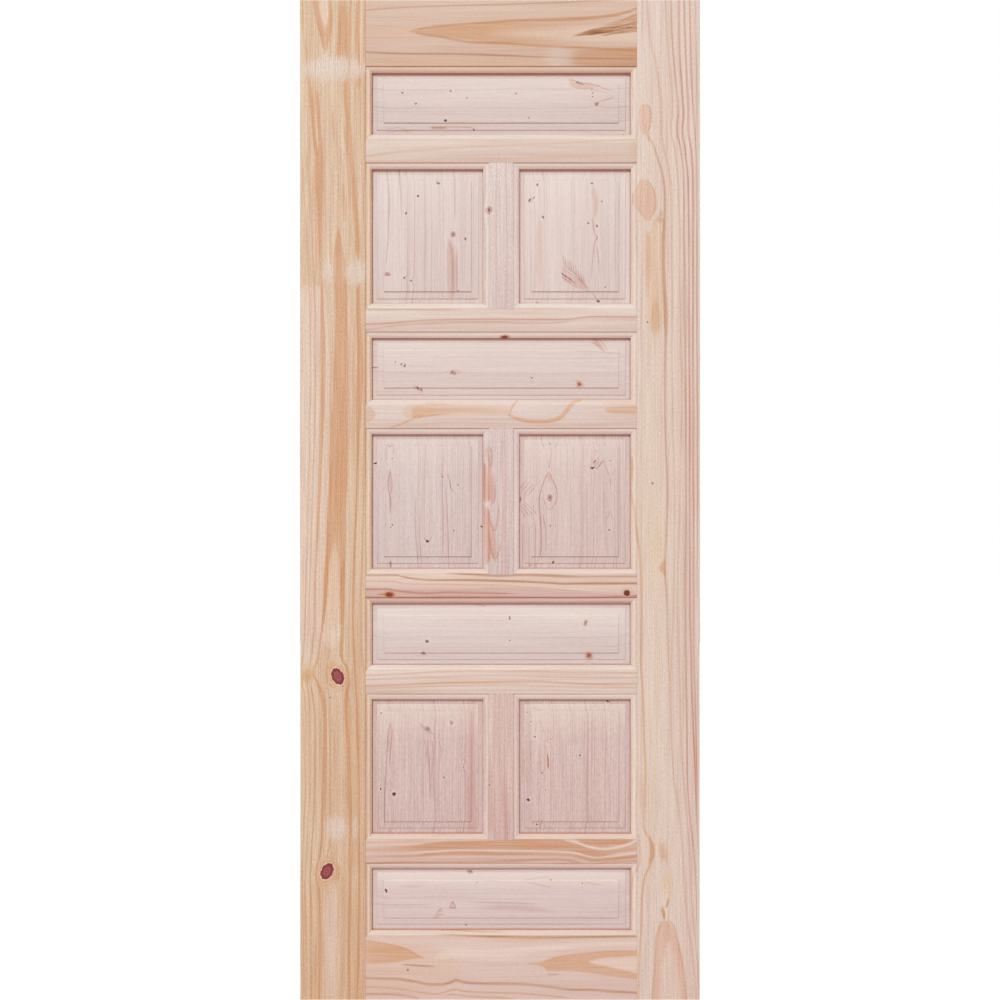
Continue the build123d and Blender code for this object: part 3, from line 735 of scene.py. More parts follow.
FIGURES["latch_stile"] = [
    Streak("#d0a68c", 0.65, 0.9, [(647.3, 0, 1), (649.3, 27, 1), (652, 47, 1), (655.4, 58, 1.1),
        (658.7, 80, 1.2), (661.4, 107, 1.2), (661.4, 127, 1.1), (664, 147, 1), (668.8, 167, 1),
        (671.4, 187, 1), (672.5, 250, 0.8), (672.8, 400, 0.8), (675, 500, 0.8), (674, 600, 0.8),
        (671.4, 694, 0.9), (674, 774, 0.9), (680.8, 823, 0.9), (683.5, 857, 1), (686.8, 910, 1),
        (694, 964, 1), (697, 1000, 1)]),
    Streak("#cda288", 0.65, 0.8, [(666, 0, 0.8), (668, 40, 0.8), (671.4, 80, 0.9), (672.8, 113, 0.9),
        (671.4, 127, 0.8), (674.8, 147, 0.8), (678, 174, 0.8), (679.5, 210, 0.8), (680.5, 300, 0.9),
        (682, 400, 0.8), (680, 500, 0.8), (678, 600, 0.8), (680, 680, 0.8), (682.8, 760, 0.8),
        (688, 823, 0.8), (690.5, 857, 0.9), (693, 910, 0.8), (698, 964, 0.8), (700, 1000, 0.8)]),
    Streak(TERRACOTTA, 0.7, 0.5, [(671.4, 0, 0.8), (672.8, 40, 0.8), (676, 80, 0.8), (678.8, 113, 0.9),
        (677.5, 127, 0.8), (680.8, 147, 0.8), (684, 174, 0.8), (684.8, 250, 0.9), (686, 400, 0.9),
        (686.5, 500, 0.9), (685.5, 600, 0.9), (687, 700, 0.9), (689, 800, 0.8), (695, 860, 0.8),
        (698, 940, 0)]),
    Streak(TERRACOTTA, 0.85, 0.5, [(679.5, 0, 1), (680, 53, 1), (682.8, 93, 1.1), (684, 116, 1.1),
        (682.8, 128, 1), (686, 153, 1), (688.8, 187, 0.9), (690, 400, 0.9), (690.5, 600, 0.9),
        (692, 680, 0.9), (695.5, 770, 0.8), (697, 810, 0.8), (699, 860, 0)]),
    Streak(TERRACOTTA, 0.8, 0.5, [(684.8, 0, 1), (685.5, 40, 1), (687.5, 80, 1), (688.8, 113, 1.1),
        (688.8, 128, 1), (692, 153, 1), (693.5, 187, 1), (693.5, 300, 1), (694, 467, 0.9),
        (694, 600, 0.8), (697, 760, 0.8), (698, 810, 0)]),
    Streak(TERRACOTTA, 0.7, 0.5, [(690, 0, 0.8), (692, 80, 0.8), (694, 113, 0.8), (697, 160, 0.8),
        (697.5, 300, 0.8), (698, 500, 0.7), (698, 620, 0)]),
    Streak(RED, 0.5, 0.8, [(695.5, 0, 0.8), (697, 80, 0.8), (697.5, 120, 0.7), (699, 160, 0)]),
    # line that leaves the upper oval and runs on down
    Streak(BROWN, 0.6, 1.0, [(647.3, 132, 0), (650, 138, 0.8), (654, 145, 1), (658, 158, 1),
        (663.4, 177, 1.1), (665.5, 200, 1.1), (664.7, 223, 1.3), (663.4, 240, 1.6), (664, 280, 1.8),
        (666.8, 320, 1.6), (666, 347, 1.3), (665.4, 400, 1.1), (666.8, 453, 1.1), (668, 493, 1.1),
        (666.8, 534, 1.1), (665.4, 567, 1), (667.5, 600, 0.9), (668.8, 653, 0.7), (670, 720, 0)]),
    Streak("#dab592", 0.6, 3.0, [(655, 216, 0), (655, 232, 5), (655.5, 260, 8), (656, 310, 8),
        (656, 330, 5), (655, 346, 0)]),
    # line beside the moulding
    Streak(ORANGE, 0.8, 1.0, [(629, 436, 0), (630, 451, 1.2), (632.6, 467, 1.2), (631, 487, 1.3),
        (634.6, 507, 1.3), (636.6, 527, 1.3), (640, 554, 1.2), (642, 610, 1.1), (641.3, 653, 1),
        (643.3, 693, 1), (644.7, 734, 1), (646, 773, 1), (644.7, 800, 1), (644, 823, 1),
        (648.7, 837, 1.4), (653.5, 849, 1.8), (651.4, 863, 1.5), (645.3, 877, 1.1), (642.6, 897, 1),
        (642, 924, 0.9), (640, 951, 0.8), (639.3, 1000, 0.8)]),
    Streak(ORANGE, 0.6, 1.0, [(638, 830, 0), (640, 842, 1), (640.5, 861, 1), (636.6, 870, 1),
        (632.6, 884, 1), (631, 910, 1), (630, 930, 0)]),
    # arch at the foot
    Streak("#d7ab92", 0.75, 0.9, [(665.5, 919, 0), (666, 923, 3.4), (666.5, 931, 8.2), (667.5, 940, 10.8),
        (668.6, 950, 12.8), (669, 970, 15.6), (669.8, 1000, 18.2)]),
    Streak("#dfc8bb", 0.75, 3.0, [(669, 938, 0), (669.5, 950, 3.4), (670, 965, 7), (670.5, 980, 9),
        (671, 1000, 10.5)]),
    Streak("#c78f64", 0.8, 0.6, [(650, 834, 0), (651, 840, 1.2), (652.6, 847, 2.2), (653, 852, 2.4),
        (651.6, 859, 1.8), (649, 866, 0)]),
    Streak(AMBER, 0.85, 0.6, [(669.2, 896, 0), (668.6, 900, 0.9), (667.6, 905, 1.0), (666.6, 909, 0)]),
    Streak(AMBER, 0.85, 0.7, [(662.4, 905, 0), (663, 909, 1.3), (664, 914, 1.9), (664.6, 918, 1.2),
        (665, 921, 0)]),
    Patch("#ddbb95", 0.6, 0.6, 668, 884, 5, 12),
    Streak(BISCUIT, 0.55, 0.9, [(664, 918, 0), (662.5, 921, 1.2), (660, 926, 1.3), (657.4, 937, 1.2),
        (656, 957, 1.1), (654.7, 977, 1.1), (652.7, 1000, 1.1)]),
    Streak(BISCUIT, 0.55, 0.9, [(667, 918, 0), (670, 921, 1.2), (673.5, 925, 1.3), (676, 931, 1.2),
        (678, 941, 1.2), (681.5, 957, 1.1), (684.8, 977, 1.1), (686.8, 1000, 1.1)]),
    Streak(OVAL, 0.85, 0.6, [(644, 102.5, 0), (645, 106, 4), (645.2, 111, 6), (645.2, 117, 6.3),
        (645.2, 123, 6.1), (644.8, 129, 4.8), (645.8, 134, 2.4), (647, 138, 0)]),
    Streak(RIM, 0.7, 0.5, [(645, 102, 0), (649, 105.5, 0.7), (651.2, 111, 0.8), (651.5, 117, 0.9),
        (651.2, 123, 0.9), (649.6, 129, 0.8), (648, 134, 0.8), (648.8, 139, 0.8), (650, 143, 0)]),
    Streak(RIM, 0.4, 0.6, [(648.5, 118, 0), (647, 122, 0.9), (645.5, 128, 1.2), (645.5, 134, 0)]),
    Streak(OVAL, 0.85, 0.6, [(644, 178.5, 0), (645, 182, 5), (645.5, 188, 8), (644.4, 195, 11),
        (644.6, 201, 11.8), (646, 206, 10.4), (647.4, 212, 6.6), (648, 218, 3.2), (648.2, 222.5, 0)]),
    Streak(RIM, 0.6, 0.5, [(645, 178, 0), (650, 182, 0.6), (653.5, 188, 0.7), (655.4, 195, 0.7),
        (656.6, 203, 0.8), (656, 208, 0.8), (652.6, 215, 0.8), (648.4, 223, 0)]),
    Streak(RIM, 0.5, 0.5, [(643.5, 178, 0), (640, 182, 0.6), (637.4, 188, 0.6), (633.6, 194, 0.6),
        (633.2, 203, 0.6), (638.5, 209, 0.7), (644, 217, 0.8), (647.8, 223, 0)]),
    Streak(CARAMEL, 0.6, 1.6, [(647.5, 228, 0), (648.3, 238, 2.0), (648.3, 258, 2.4), (648, 282, 1.4),
        (648, 302, 0)]),
    Streak(CARAMEL, 0.55, 2.0, [(656, 296, 0), (656, 310, 4), (656, 322, 5), (655, 334, 0)]),
    Streak("#bf8a60", 0.7, 0.7, [(664.6, 217, 0), (664.7, 224, 1.1), (664.6, 260, 1.2), (664.9, 300, 1.4),
        (665.4, 320, 1.2), (665.6, 345, 0)]),
    Patch("#c4905f", 0.7, 0.5, 660.5, 220.5, 5, 1.6),
    Streak("#c69468", 0.5, 1.0, [(661, 207, 0), (661.5, 212, 1.6), (660.5, 219, 1.8), (659.5, 224, 0)]),
    Patch(TAN, 0.5, 0.5, 643, 792, 4, 17),
    Patch("#d3a680", 0.7, 0.5, 664, 851, 4.5, 9, -15),
    Patch("#e2cdb4", 0.35, 0.5, 654, 600, 11, 240),
    Knot("pin", 648, 322, 1.2, 1.6),
    Knot("faint", 653, 483.5, 1.4, 1.6),
    # an ember-coloured swirl where a twig began, and the honey above it
    Patch("#dcc19d", 0.55, 0.7, 658, 548, 6.5, 22),
    Streak("#c98d5c", 0.75, 1.8, [(665, 557, 0), (664.6, 562, 1.4), (663, 566, 3.0), (663, 570, 3.0),
        (665, 573, 1.6), (666, 579, 0)]),
]
FIGURES["top_rail"] = [
    Streak(TAN, 0.5, 4.0, [(352, 31, 4), (400, 31, 4), (430, 31, 0)]),
    Streak(ORANGE, 0.9, 1.6, [(408, 31.5, 0), (414, 31.5, 1), (430, 31.5, 3.2), (450, 32, 5.5),
        (480, 32.5, 8.5), (500, 33, 10.5, 0.9), (530, 33, 12, 0.7), (570, 33, 13, 0.35),
        (610, 33, 14, 0.1), (640, 32, 15, 0.05)]),
    Streak(CREAM, 0.5, 4.0, [(480, 33.5, 0), (510, 33.5, 2), (560, 33.5, 6), (600, 34, 9), (650, 32, 12)]),
    Streak(DEEP_ORANGE, 0.95, 0.9, [(410, 31, 0), (422, 28.5, 1), (443, 26, 1.2), (470, 23.8, 1.2),
        (506, 21.4, 1.3), (530, 20, 1.5), (563, 19.4, 1.6), (603, 16.7, 1.6), (623, 13.4, 1.5),
        (640, 8.5, 1.4)]),
    Streak(DEEP_ORANGE, 0.85, 0.9, [(412, 32, 0), (422, 34, 1), (443, 37, 1.2), (463, 41, 1.2),
        (506, 43.5, 1.2), (536, 45.5, 1.2), (576, 47.5, 1.2), (640, 50.5, 1.2)]),
    Streak(BROWN, 0.7, 0.8, [(354, 11, 0.7), (403, 7.4, 0.7), (443, 6, 0.7), (506, 4.4, 0.7),
        (549, 2.7, 0.6), (603, 0.7, 0.5), (640, 0, 0)]),
    Streak(BROWN, 0.85, 0.7, [(354, 51.5, 0.9), (403, 53.6, 1), (443, 54, 1), (506, 55.4, 1),
        (536, 57, 1), (576, 58, 1), (640, 59.5, 0.9)]),
    Streak(TAN, 0.65, 2.5, [(354, 63, 6), (420, 63.5, 6), (500, 64.5, 6), (545, 65, 4), (556, 65, 0)]),
    Streak(DEEP_ORANGE, 0.7, 2.0, [(556, 61, 3, 0.1), (570, 59, 6, 0.4), (584, 58, 8), (604, 57.5, 9),
        (650, 57, 10)]),
    Streak(DEEP_ORANGE, 0.6, 1.2, [(572, 35.5, 0), (584, 33, 1.4), (600, 30.5, 3.2), (618, 27.5, 5.6),
        (650, 22, 9)]),
    Streak(RESIN, 0.65, 0.7, [(580, 35, 0), (590, 33.6, 1.2), (604, 32, 1.6), (620, 30, 1.4),
        (650, 28, 1.2)]),
    Streak(RESIN, 0.6, 0.7, [(588, 30.5, 0), (596, 29.4, 1.0), (608, 28, 1.2), (622, 26, 1.0),
        (650, 22, 1.0)]),
    Streak(RESIN, 0.55, 0.7, [(598, 36, 0), (608, 34.5, 0.9), (622, 32.5, 0.9), (650, 31, 0.9)]),
    Streak(RESIN, 0.45, 0.7, [(602, 25.5, 0), (612, 23, 0.8), (624, 19.5, 0.9), (650, 14, 0.9)]),
    Patch(LAP, 0.55, 0.5, 559, 57, 13, 8),
    Streak("#a2643a", 0.8, 0.8, [(572, 36, 0), (579, 35.2, 0.7), (586, 33.4, 1.9), (592, 32.4, 2.8),
        (598, 31.8, 2.6), (604, 31.3, 1.7), (612, 30.4, 1.0), (622, 28.6, 0)]),
    Streak(SIENNA, 0.45, 0.4, [(586, 34.6, 0), (592, 34, 0.6), (599, 33.4, 0.6), (607, 32.2, 0.6),
        (616, 30.2, 0.6), (626, 28.2, 0.6), (640, 26, 0.5)]),
    Streak(SIENNA, 0.3, 0.4, [(598, 30, 0), (606, 28.6, 0.5), (614, 27.2, 0.6), (624, 25.4, 0.5),
        (640, 22.4, 0.5)]),
    Streak(SIENNA, 0.35, 0.4, [(602, 35.6, 0), (610, 34.6, 0.5), (618, 33, 0.5), (628, 31.2, 0.5),
        (640, 29.4, 0.4)]),
    Streak(SIENNA, 0.2, 0.4, [(606, 26, 0), (614, 24.4, 0.5), (624, 22, 0.5), (640, 18, 0.4)]),
    Patch(CHESTNUT, 0.7, 0.5, 594.5, 33, 3.4, 1.2, -12),
    Patch(CHESTNUT, 0.6, 0.5, 602, 31, 2.4, 0.9, -12),
    Patch(UMBER, 0.7, 0.5, 609, 28.4, 2.2, 0.8, -14), Patch(UMBER, 0.7, 0.5, 614, 30.8, 2.2, 0.8, -14),
    Patch(UMBER, 0.7, 0.5, 619, 27.4, 2.4, 0.8, -14), Patch(UMBER, 0.6, 0.5, 623, 31, 2.0, 0.7, -14),
    Patch(UMBER, 0.7, 0.5, 628, 27.8, 2.2, 0.8, -14), Patch(UMBER, 0.6, 0.5, 634, 25.6, 2.4, 0.7, -14),
]
FIGURES["cross_rail_1"] = [
    Streak(TAN, 0.85, 0.9, [(354, 158.5, 0.9), (366, 157.5, 0.9), (392.6, 153.5, 0.9), (428, 150.9, 0.9),
        (454.6, 148.7, 0.9), (505, 146.5, 0.9), (562.5, 143.9, 0.9), (602.7, 142.1, 0.9),
        (640, 139.8, 0.9)]),
    Streak(TAN, 0.4, 2.0, [(354, 163, 2), (440, 162, 2), (560, 158, 2), (640, 156, 2)]),
    Streak(PALE, 0.4, 2.0, [(366, 147, 3), (440, 144, 2), (500, 143, 0)]),
    Patch(TAN, 0.6, 0.6, 637, 150, 6, 8),
]
FIGURES["cross_rail_2"] = [
    Streak(ROSE, 0.4, 1.4, [(354, 328.5, 2.5), (395, 326, 2.2), (450, 323.4, 2), (523, 323.2, 2),
        (578, 322, 1.8), (640, 321, 2)]),
    Streak(ROSE, 0.3, 3.0, [(354, 335, 4), (450, 331, 4), (560, 331, 4), (640, 329, 4)]),
    Streak(REDDISH, 0.8, 0.7, [(354, 326.4, 0.8), (391, 325, 0.8), (413.6, 322.8, 0.8), (431, 321.9, 0.8),
        (453.8, 321.3, 0.8), (500, 321, 0.8), (555.7, 321.3, 0.8), (569.5, 321.1, 0.8),
        (583.2, 319.3, 0.8), (597, 318.4, 0.8), (640, 318.4, 0.8)]),
    Streak(REDDISH, 0.55, 0.7, [(354, 333.5, 0.7), (376, 330.4, 0.8), (395.7, 327.7, 0.8),
        (422.5, 325.9, 0.7), (449, 324.6, 0.7), (496, 323.9, 0.7), (523.5, 325.3, 0.7),
        (560.3, 324.3, 0.6), (578.6, 322, 0)]),
    Streak(BROWN, 0.5, 0.8, [(354, 311.4, 0.8), (440, 311.4, 0.8), (470, 311.4, 0)]),
    Knot("resinous", 505.2, 338.5, 3.6, 1.6, 0, 2.0),
]
FIGURES["cross_rail_3"] = [
    # half an oval at the end
    Streak("#d6b09a", 0.85, 0.4, [(354, 413.8, 8.2), (366, 413.8, 8.2), (370, 413.7, 7.4),
        (373.2, 413.5, 5.4), (375.2, 413.4, 2.8), (376.3, 413.4, 0)]),
    # growth cone that opens to the right
    Streak(TAN, 0.6, 2.0, [(402, 412, 0), (410, 411, 6), (430, 409.5, 5.5), (470, 409.5, 4.5),
        (505, 410, 4), (514, 408, 0)]),
    Streak(HONEY, 0.9, 0.9, [(411.8, 411.2, 0), (413.4, 411.4, 5.6), (418, 411.2, 5.6), (424, 410.6, 4.6),
        (430, 410.2, 3.6), (437, 410, 2.2, 0.8), (460, 409.5, 2, 0.5), (490, 409.5, 2, 0.3),
        (505, 410, 0)]),
    Streak(LINE, 0.6, 0.7, [(389, 427.4, 0), (393, 426.3, 0.8), (403, 422.8, 0.9), (413.6, 418, 1.0),
        (420, 416.6, 0.9), (428, 415.5, 0.8), (440, 413.4, 0.7), (458, 412.5, 0)]),
    # loop
    Streak(HONEY, 0.95, 0.7, [(507.5, 413.5, 0), (509.4, 414.2, 1.3), (517, 417.5, 1.4),
        (527, 419.8, 1.5), (542, 420.8, 1.5), (553, 419.4, 1.6), (560.3, 416.5, 2.3), (565, 411.8, 3.1),
        (569.5, 406.6, 3.0), (573.5, 402, 2.2), (581.4, 399.2, 1.2), (584, 398.6, 0)]),
    Streak(LINE, 0.5, 0.6, [(509, 415.4, 0), (512.5, 417, 0.7), (523.5, 420.6, 0.8), (536, 422, 0.8),
        (548, 421.8, 0.8), (558.4, 419.4, 0.8), (564, 415.9, 0.8), (568.6, 411, 0.8), (573, 405.8, 0.7),
        (577, 402, 0)]),
    Streak(HONEY, 0.95, 0.7, [(508, 416, 0), (509.5, 414, 1.5), (511.2, 410.2, 2.2), (513.4, 405, 2.0),
        (516.5, 401.5, 1.6), (519.5, 398.5, 0)]),
    Streak(HONEY, 0.9, 1.0, [(604, 409.5, 0), (610, 409.5, 2.4), (620, 409.5, 3.4), (640, 409.2, 4)]),
    Streak(TAN, 0.7, 0.9, [(424, 403, 0), (430, 402.8, 1.6), (446, 402.8, 1.4), (450, 402.8, 0),
        (600, 402.5, 0), (606, 402.5, 1.4), (640, 402.3, 1.8)]),
    Streak(TAN, 0.45, 1.0, [(354, 423, 0.8), (400, 425.5, 0.8), (450, 421.5, 0.8), (500, 423, 0.8),
        (560, 425.5, 0.8), (640, 421, 0.8)]),
]
FIGURES["cross_rail_4"] = [
    Streak(CREAM, 0.4, 1.5, [(354, 576, 6), (420, 578, 7), (500, 579, 7), (580, 581, 8), (640, 582, 8)]),
    Streak(ROSE, 0.65, 1.5, [(354, 592, 6.5), (403, 593, 5.5), (450, 593, 5), (500, 591, 6),
        (540, 592, 5), (580, 593.5, 3.4), (640, 594, 3)]),
    Streak(ROSE, 0.2, 1.0, [(445, 575.2, 0), (462, 575.2, 2.4), (500, 576.2, 2.6), (551, 577.4, 3.2),
        (600, 578, 3.2), (640, 578, 3.2)]),
    Streak(BROWN, 0.85, 0.7, [(354, 573.4, 0.8), (395.7, 573.4, 0.8), (404.6, 575.2, 0.8),
        (415.4, 577, 0.8), (436, 578.3, 0.9), (462.7, 578.3, 1), (496, 578.9, 1.1), (523.5, 579.7, 1.1),
        (551, 581.1, 1.2), (565, 582, 1.2), (597, 581.6, 1.2), (640, 581.6, 1.1)]),
    Streak(BROWN, 0.8, 0.7, [(440, 571.5, 0), (462.7, 572, 1.0), (500, 573.6, 1.2), (523.5, 572.9, 1.3),
        (551, 573.8, 1.3), (578.6, 574.7, 1.0), (640, 574.7, 0.9)]),
    Streak(REDDISH, 0.55, 0.7, [(354, 579.2, 0.6), (394, 579.6, 0.6), (404.6, 581.9, 0.6),
        (449, 582.8, 0.7), (500, 583.5, 0.7), (532.7, 585.7, 0.7), (551, 587, 0.7), (578.6, 589.4, 0.7),
        (606, 590.3, 0)]),
    Streak(DARK_RED, 0.85, 0.7, [(354, 587.2, 0.9), (386.8, 587.2, 0.9), (397.5, 589, 0.9),
        (410, 590.4, 1), (427, 591.3, 1), (449, 590.4, 1), (500, 591.3, 0.9), (520, 592, 0)]),
    Streak(DARK_RED, 0.8, 0.8, [(354, 596, 1.2), (500, 596, 1.5), (560, 596.3, 1.3), (640, 594.5, 1)]),
    Streak(RED, 0.6, 1.0, [(354, 599, 2.5), (640, 599, 2.5)]),
    Streak(RESIN, 0.8, 0.6, [(376, 592.6, 0), (381, 592.4, 0.7), (387, 592.6, 1.2), (391, 592.8, 0)]),
    Knot("resinous", 389.9, 592.8, 4.3, 2.4, 0, 2.5),
    Knot("red", 627.5, 591.2, 3.9, 3.7, 0, 3.0),
]
FIGURES["cross_rail_5"] = [
    Streak(ORANGE, 0.6, 0.7, [(354, 673.4, 0.8), (366, 673, 0.8), (404.6, 671.2, 0.8), (436, 669.8, 0.8),
        (500, 669, 0.8), (560, 669.7, 0.8), (640, 670.7, 0.8)]),
    Streak(ORANGE, 0.55, 0.7, [(354, 677.8, 0.7), (366, 677.4, 0.7), (395.7, 676, 0.7),
        (431.4, 674.7, 0.7), (500, 673.2, 0.7), (560, 674.8, 0.7), (640, 675.2, 0.7)]),
    Streak(ORANGE, 0.8, 0.7, [(354, 684, 1), (366, 683.7, 1), (395.7, 682.8, 1), (431.4, 681, 1.1),
        (500, 679.5, 1.1), (532.7, 679.4, 1.1), (569.5, 680.8, 1.1), (606, 681.7, 1.1), (640, 681.2, 1)]),
    Streak(ORANGE, 0.5, 0.7, [(354, 687.4, 0.7), (366, 686.8, 0.7), (413.6, 684.6, 0.7),
        (500, 682.8, 0.8), (569.5, 684.4, 0.8), (640, 685.3, 0.7)]),
    Streak(TAN, 0.65, 0.8, [(354, 691, 0.7), (404.6, 688.6, 0.7), (443, 688, 0.7), (500, 687.6, 0.7),
        (640, 689.5, 0.7)]),
]
FIGURES["cross_rail_6"] = [
    # broad band that dips to the right, and what lies above the dip
    Streak(COPPER, 0.95, 0.9, [(354, 848.2, 2, 0.3), (366, 848, 2.2, 0.4), (392, 847.6, 3, 0.6),
        (414, 846.8, 3.2, 0.9), (436, 844.6, 4.2), (468, 843.4, 4.3), (500, 843.5, 4.4), (512, 843.2, 5),
        (561, 843.8, 5.7), (566, 844.4, 5.2), (577, 846.3, 4.4), (588, 850.1, 3.8),
        (599, 851.7, 3.8, 0.9), (610, 850.6, 2.7, 0.8), (621, 848.8, 2.5, 0.7), (640, 845, 4.3, 0.6)]),
    Streak(COPPER, 0.95, 0.8, [(574, 837.6, 0), (576, 837.8, 0.4), (583, 839.7, 2.2), (591, 840.8, 3.3),
        (604, 841.6, 4.1), (615, 841, 3.6), (626, 839.7, 2.2), (637, 838, 0)]),
    Streak(PALE, 0.45, 0.6, [(563, 838, 0), (572, 840.3, 0.8), (582.8, 843, 0.9), (593.6, 846.3, 0.9),
        (604.5, 847.9, 0.9), (615.3, 846.8, 0.9), (626, 844.1, 0.9), (640, 839, 0.8)]),
    Streak(PALE, 0.35, 0.6, [(400, 851.6, 0), (436, 850.4, 0.8), (468, 849.2, 0.8), (500, 849.4, 0.8),
        (561, 850.4, 0.8), (577, 852, 0.8), (588, 854.6, 0.8), (596, 856.2, 0.8), (605, 856, 0.8),
        (640, 851.2, 0.8)]),
    Streak(COPPER, 0.9, 0.8, [(354, 856.5, 1.2, 0.5), (381, 855, 1.3, 0.6), (414, 854.2, 1.4, 0.8),
        (436, 852.6, 1.7), (468, 851.6, 2), (500, 852.1, 1.8), (540, 852.4, 1.6), (572, 853.6, 1.5),
        (583, 856.2, 1.6), (594, 858.6, 1.7), (606, 858, 1.6), (640, 854.6, 1.6)]),
    Streak(REDDISH, 0.9, 0.8, [(354, 862.5, 1.1), (381.7, 861.5, 1.1), (403.4, 860.9, 1.1),
        (446.8, 861, 1.1), (500, 860, 1.2), (523, 858.7, 1.3), (550, 857.7, 1.3), (565, 858.2, 1.3),
        (574, 859.8, 1.2), (583, 861.5, 0)]),
    Streak(REDDISH, 0.7, 0.8, [(550, 862.5, 0), (560, 862.6, 0.9), (593.6, 863.6, 0.9),
        (604.5, 861.4, 0.9), (640, 859.3, 0.9)]),
    Streak(ORANGE, 0.7, 0.8, [(354, 841.2, 0.9), (414, 840.6, 0.9), (436, 840.2, 0)]),
]
FIGURES["bottom_rail"] = [
    Streak(TAN, 0.35, 6.0, [(354, 966, 26), (410, 968, 26), (440, 970, 20), (470, 970, 0)]),
    # tongue at the left
    Streak(ORANGE, 0.85, 0.9, [(354, 952.6, 12, 0.4), (364, 952.9, 11.7, 0.6), (382, 954.2, 10.3),
        (398, 954.9, 7.8), (409, 955.8, 4.9), (416.4, 957.5, 2.2), (422, 958.2, 0.7), (426, 958.4, 0)]),
    Streak(LINE, 0.6, 0.7, [(354, 940, 0), (364, 941.2, 0.7), (381.7, 943.9, 0.8), (398, 947.1, 0.8),
        (408.8, 950.9, 0.9), (416.4, 955.2, 1.0), (422, 958.2, 0.9), (425, 959, 0)]),
    Streak(BROWN, 0.75, 0.8, [(402, 965.2, 0), (405.6, 965.6, 0.7), (420.7, 966.7, 1.0),
        (430, 967.3, 0.8), (438, 967.8, 0)]),
    # lines at the foot
    Streak(BROWN, 0.75, 0.9, [(354, 979, 1.2), (364, 979.1, 1.3), (382, 979.6, 1.3), (400, 980.2, 1.3),
        (414.2, 982.4, 1.3), (429.4, 985.4, 1.4), (441.3, 985.6, 1.4), (452.2, 982.9, 1.5),
        (456.5, 981, 1.7), (463, 982.9, 1.4), (479.3, 984.4, 1.4), (523, 985.1, 1.3), (544.8, 987.3, 1.3),
        (566.5, 990, 1.3), (593.6, 991, 1.3), (615.3, 992.7, 1.3), (640, 994, 1.3)]),
    Streak(ORANGE, 0.75, 0.8, [(354, 987.8, 0.8), (381, 988.4, 0.9), (403.4, 990.5, 0.9),
        (425, 993.8, 0.9), (436, 994.9, 0.9), (446.8, 992.7, 0.9), (455.4, 990.5, 0.9), (464, 992.1, 0.9),
        (500, 993.8, 0.9), (528.5, 994.9, 0.9), (561, 998.1, 0.9), (576, 1000, 0)]),
    Streak(REDDISH, 0.75, 0.9, [(354, 994.8, 1.1), (364.3, 994.9, 1.1), (392.5, 995.4, 1.1),
        (414, 998, 1.1), (426, 1000, 0), (440, 999, 0), (452, 995.6, 1.0), (468, 997, 1.0),
        (500, 998.6, 1.0), (520, 1000, 0)]),
    # tongue at the right
    Streak("#d1a27e", 0.9, 0.8, [(527, 964.4, 0), (528.5, 964.5, 0.6), (536, 964.8, 1.2),
        (543.7, 965.1, 2.8), (548, 966.1, 5.2), (555.7, 965.1, 6.7), (572, 963.7, 8), (588, 963.8, 9.6),
        (610, 964.7, 12.4), (640, 966.3, 14.3)]),
    Streak("#e4cdbf", 0.8, 1.4, [(588, 963, 0), (594, 963, 1.6), (604, 962.9, 3.9), (620, 964.2, 6.2),
        (640, 965.7, 8.8)]),
    Streak(LINE, 0.5, 0.7, [(543, 962.4, 0), (555.7, 958.5, 0.7), (571.9, 955.8, 0.8),
        (588.2, 954.2, 0.8), (609.9, 952.3, 0.9), (640, 952, 0.9)]),
    Streak(BROWN, 0.5, 0.8, [(546, 975.2, 0), (550, 975.3, 0.8), (557, 975.2, 0.7), (561, 975, 0)]),
    Streak(TAN, 0.5, 0.9, [(592, 978, 0), (600, 979.2, 0.8), (612, 981, 0.8), (625, 983, 0)]),
    # line along the quirk, with a shaded strip under it, and the orange on the moulding
    Streak(TAN, 0.75, 1.4, [(482, 938, 0), (496, 940, 2), (520, 940.6, 2.2), (540, 940.4, 1.6),
        (560, 939.6, 0)]),
    Streak(BROWN, 0.85, 0.9, [(430, 935.6, 0), (446, 935.9, 0.8), (480, 937.2, 1.1), (506, 938, 1.2),
        (536, 938.5, 1.2), (576, 938.4, 1.1), (640, 937.3, 1.0)]),
    Streak(ORANGE, 0.85, 0.8, [(420, 930.4, 0), (436, 930.4, 1.2, 0.6), (446, 930.4, 1.8),
        (456, 931.2, 1.5), (466, 932.6, 0.9), (500, 934.1, 0.7), (512, 934.4, 0)]),
    Streak("#dcc095", 0.5, 1.2, [(590, 929.5, 0), (600, 929.5, 1.6), (640, 929.5, 1.6)]),
    Streak(PALE, 0.4, 2.0, [(430, 960, 0), (450, 955, 4), (500, 954, 4), (540, 950, 3), (600, 945, 2),
        (640, 944, 2)]),
    Knot("faint", 408.3, 971, 1.4, 1.2),
]
FIGURES["muntin_1"] = [
    Streak(ROSE, 0.5, 0.8, [(497, 164, 0.9), (496, 230, 0.9), (497, 311, 0.9)]),
    Streak(ROSE, 0.5, 0.8, [(506, 164, 0.9), (507, 240, 0.9), (506, 311, 0.9)]),
    Streak(ROSE, 0.4, 0.8, [(501, 164, 0.7), (500, 230, 0.7), (501.5, 311, 0.7)]),
    Knot("sound", 489, 211.9, 4.4, 5.2, 0, 6.0),
]
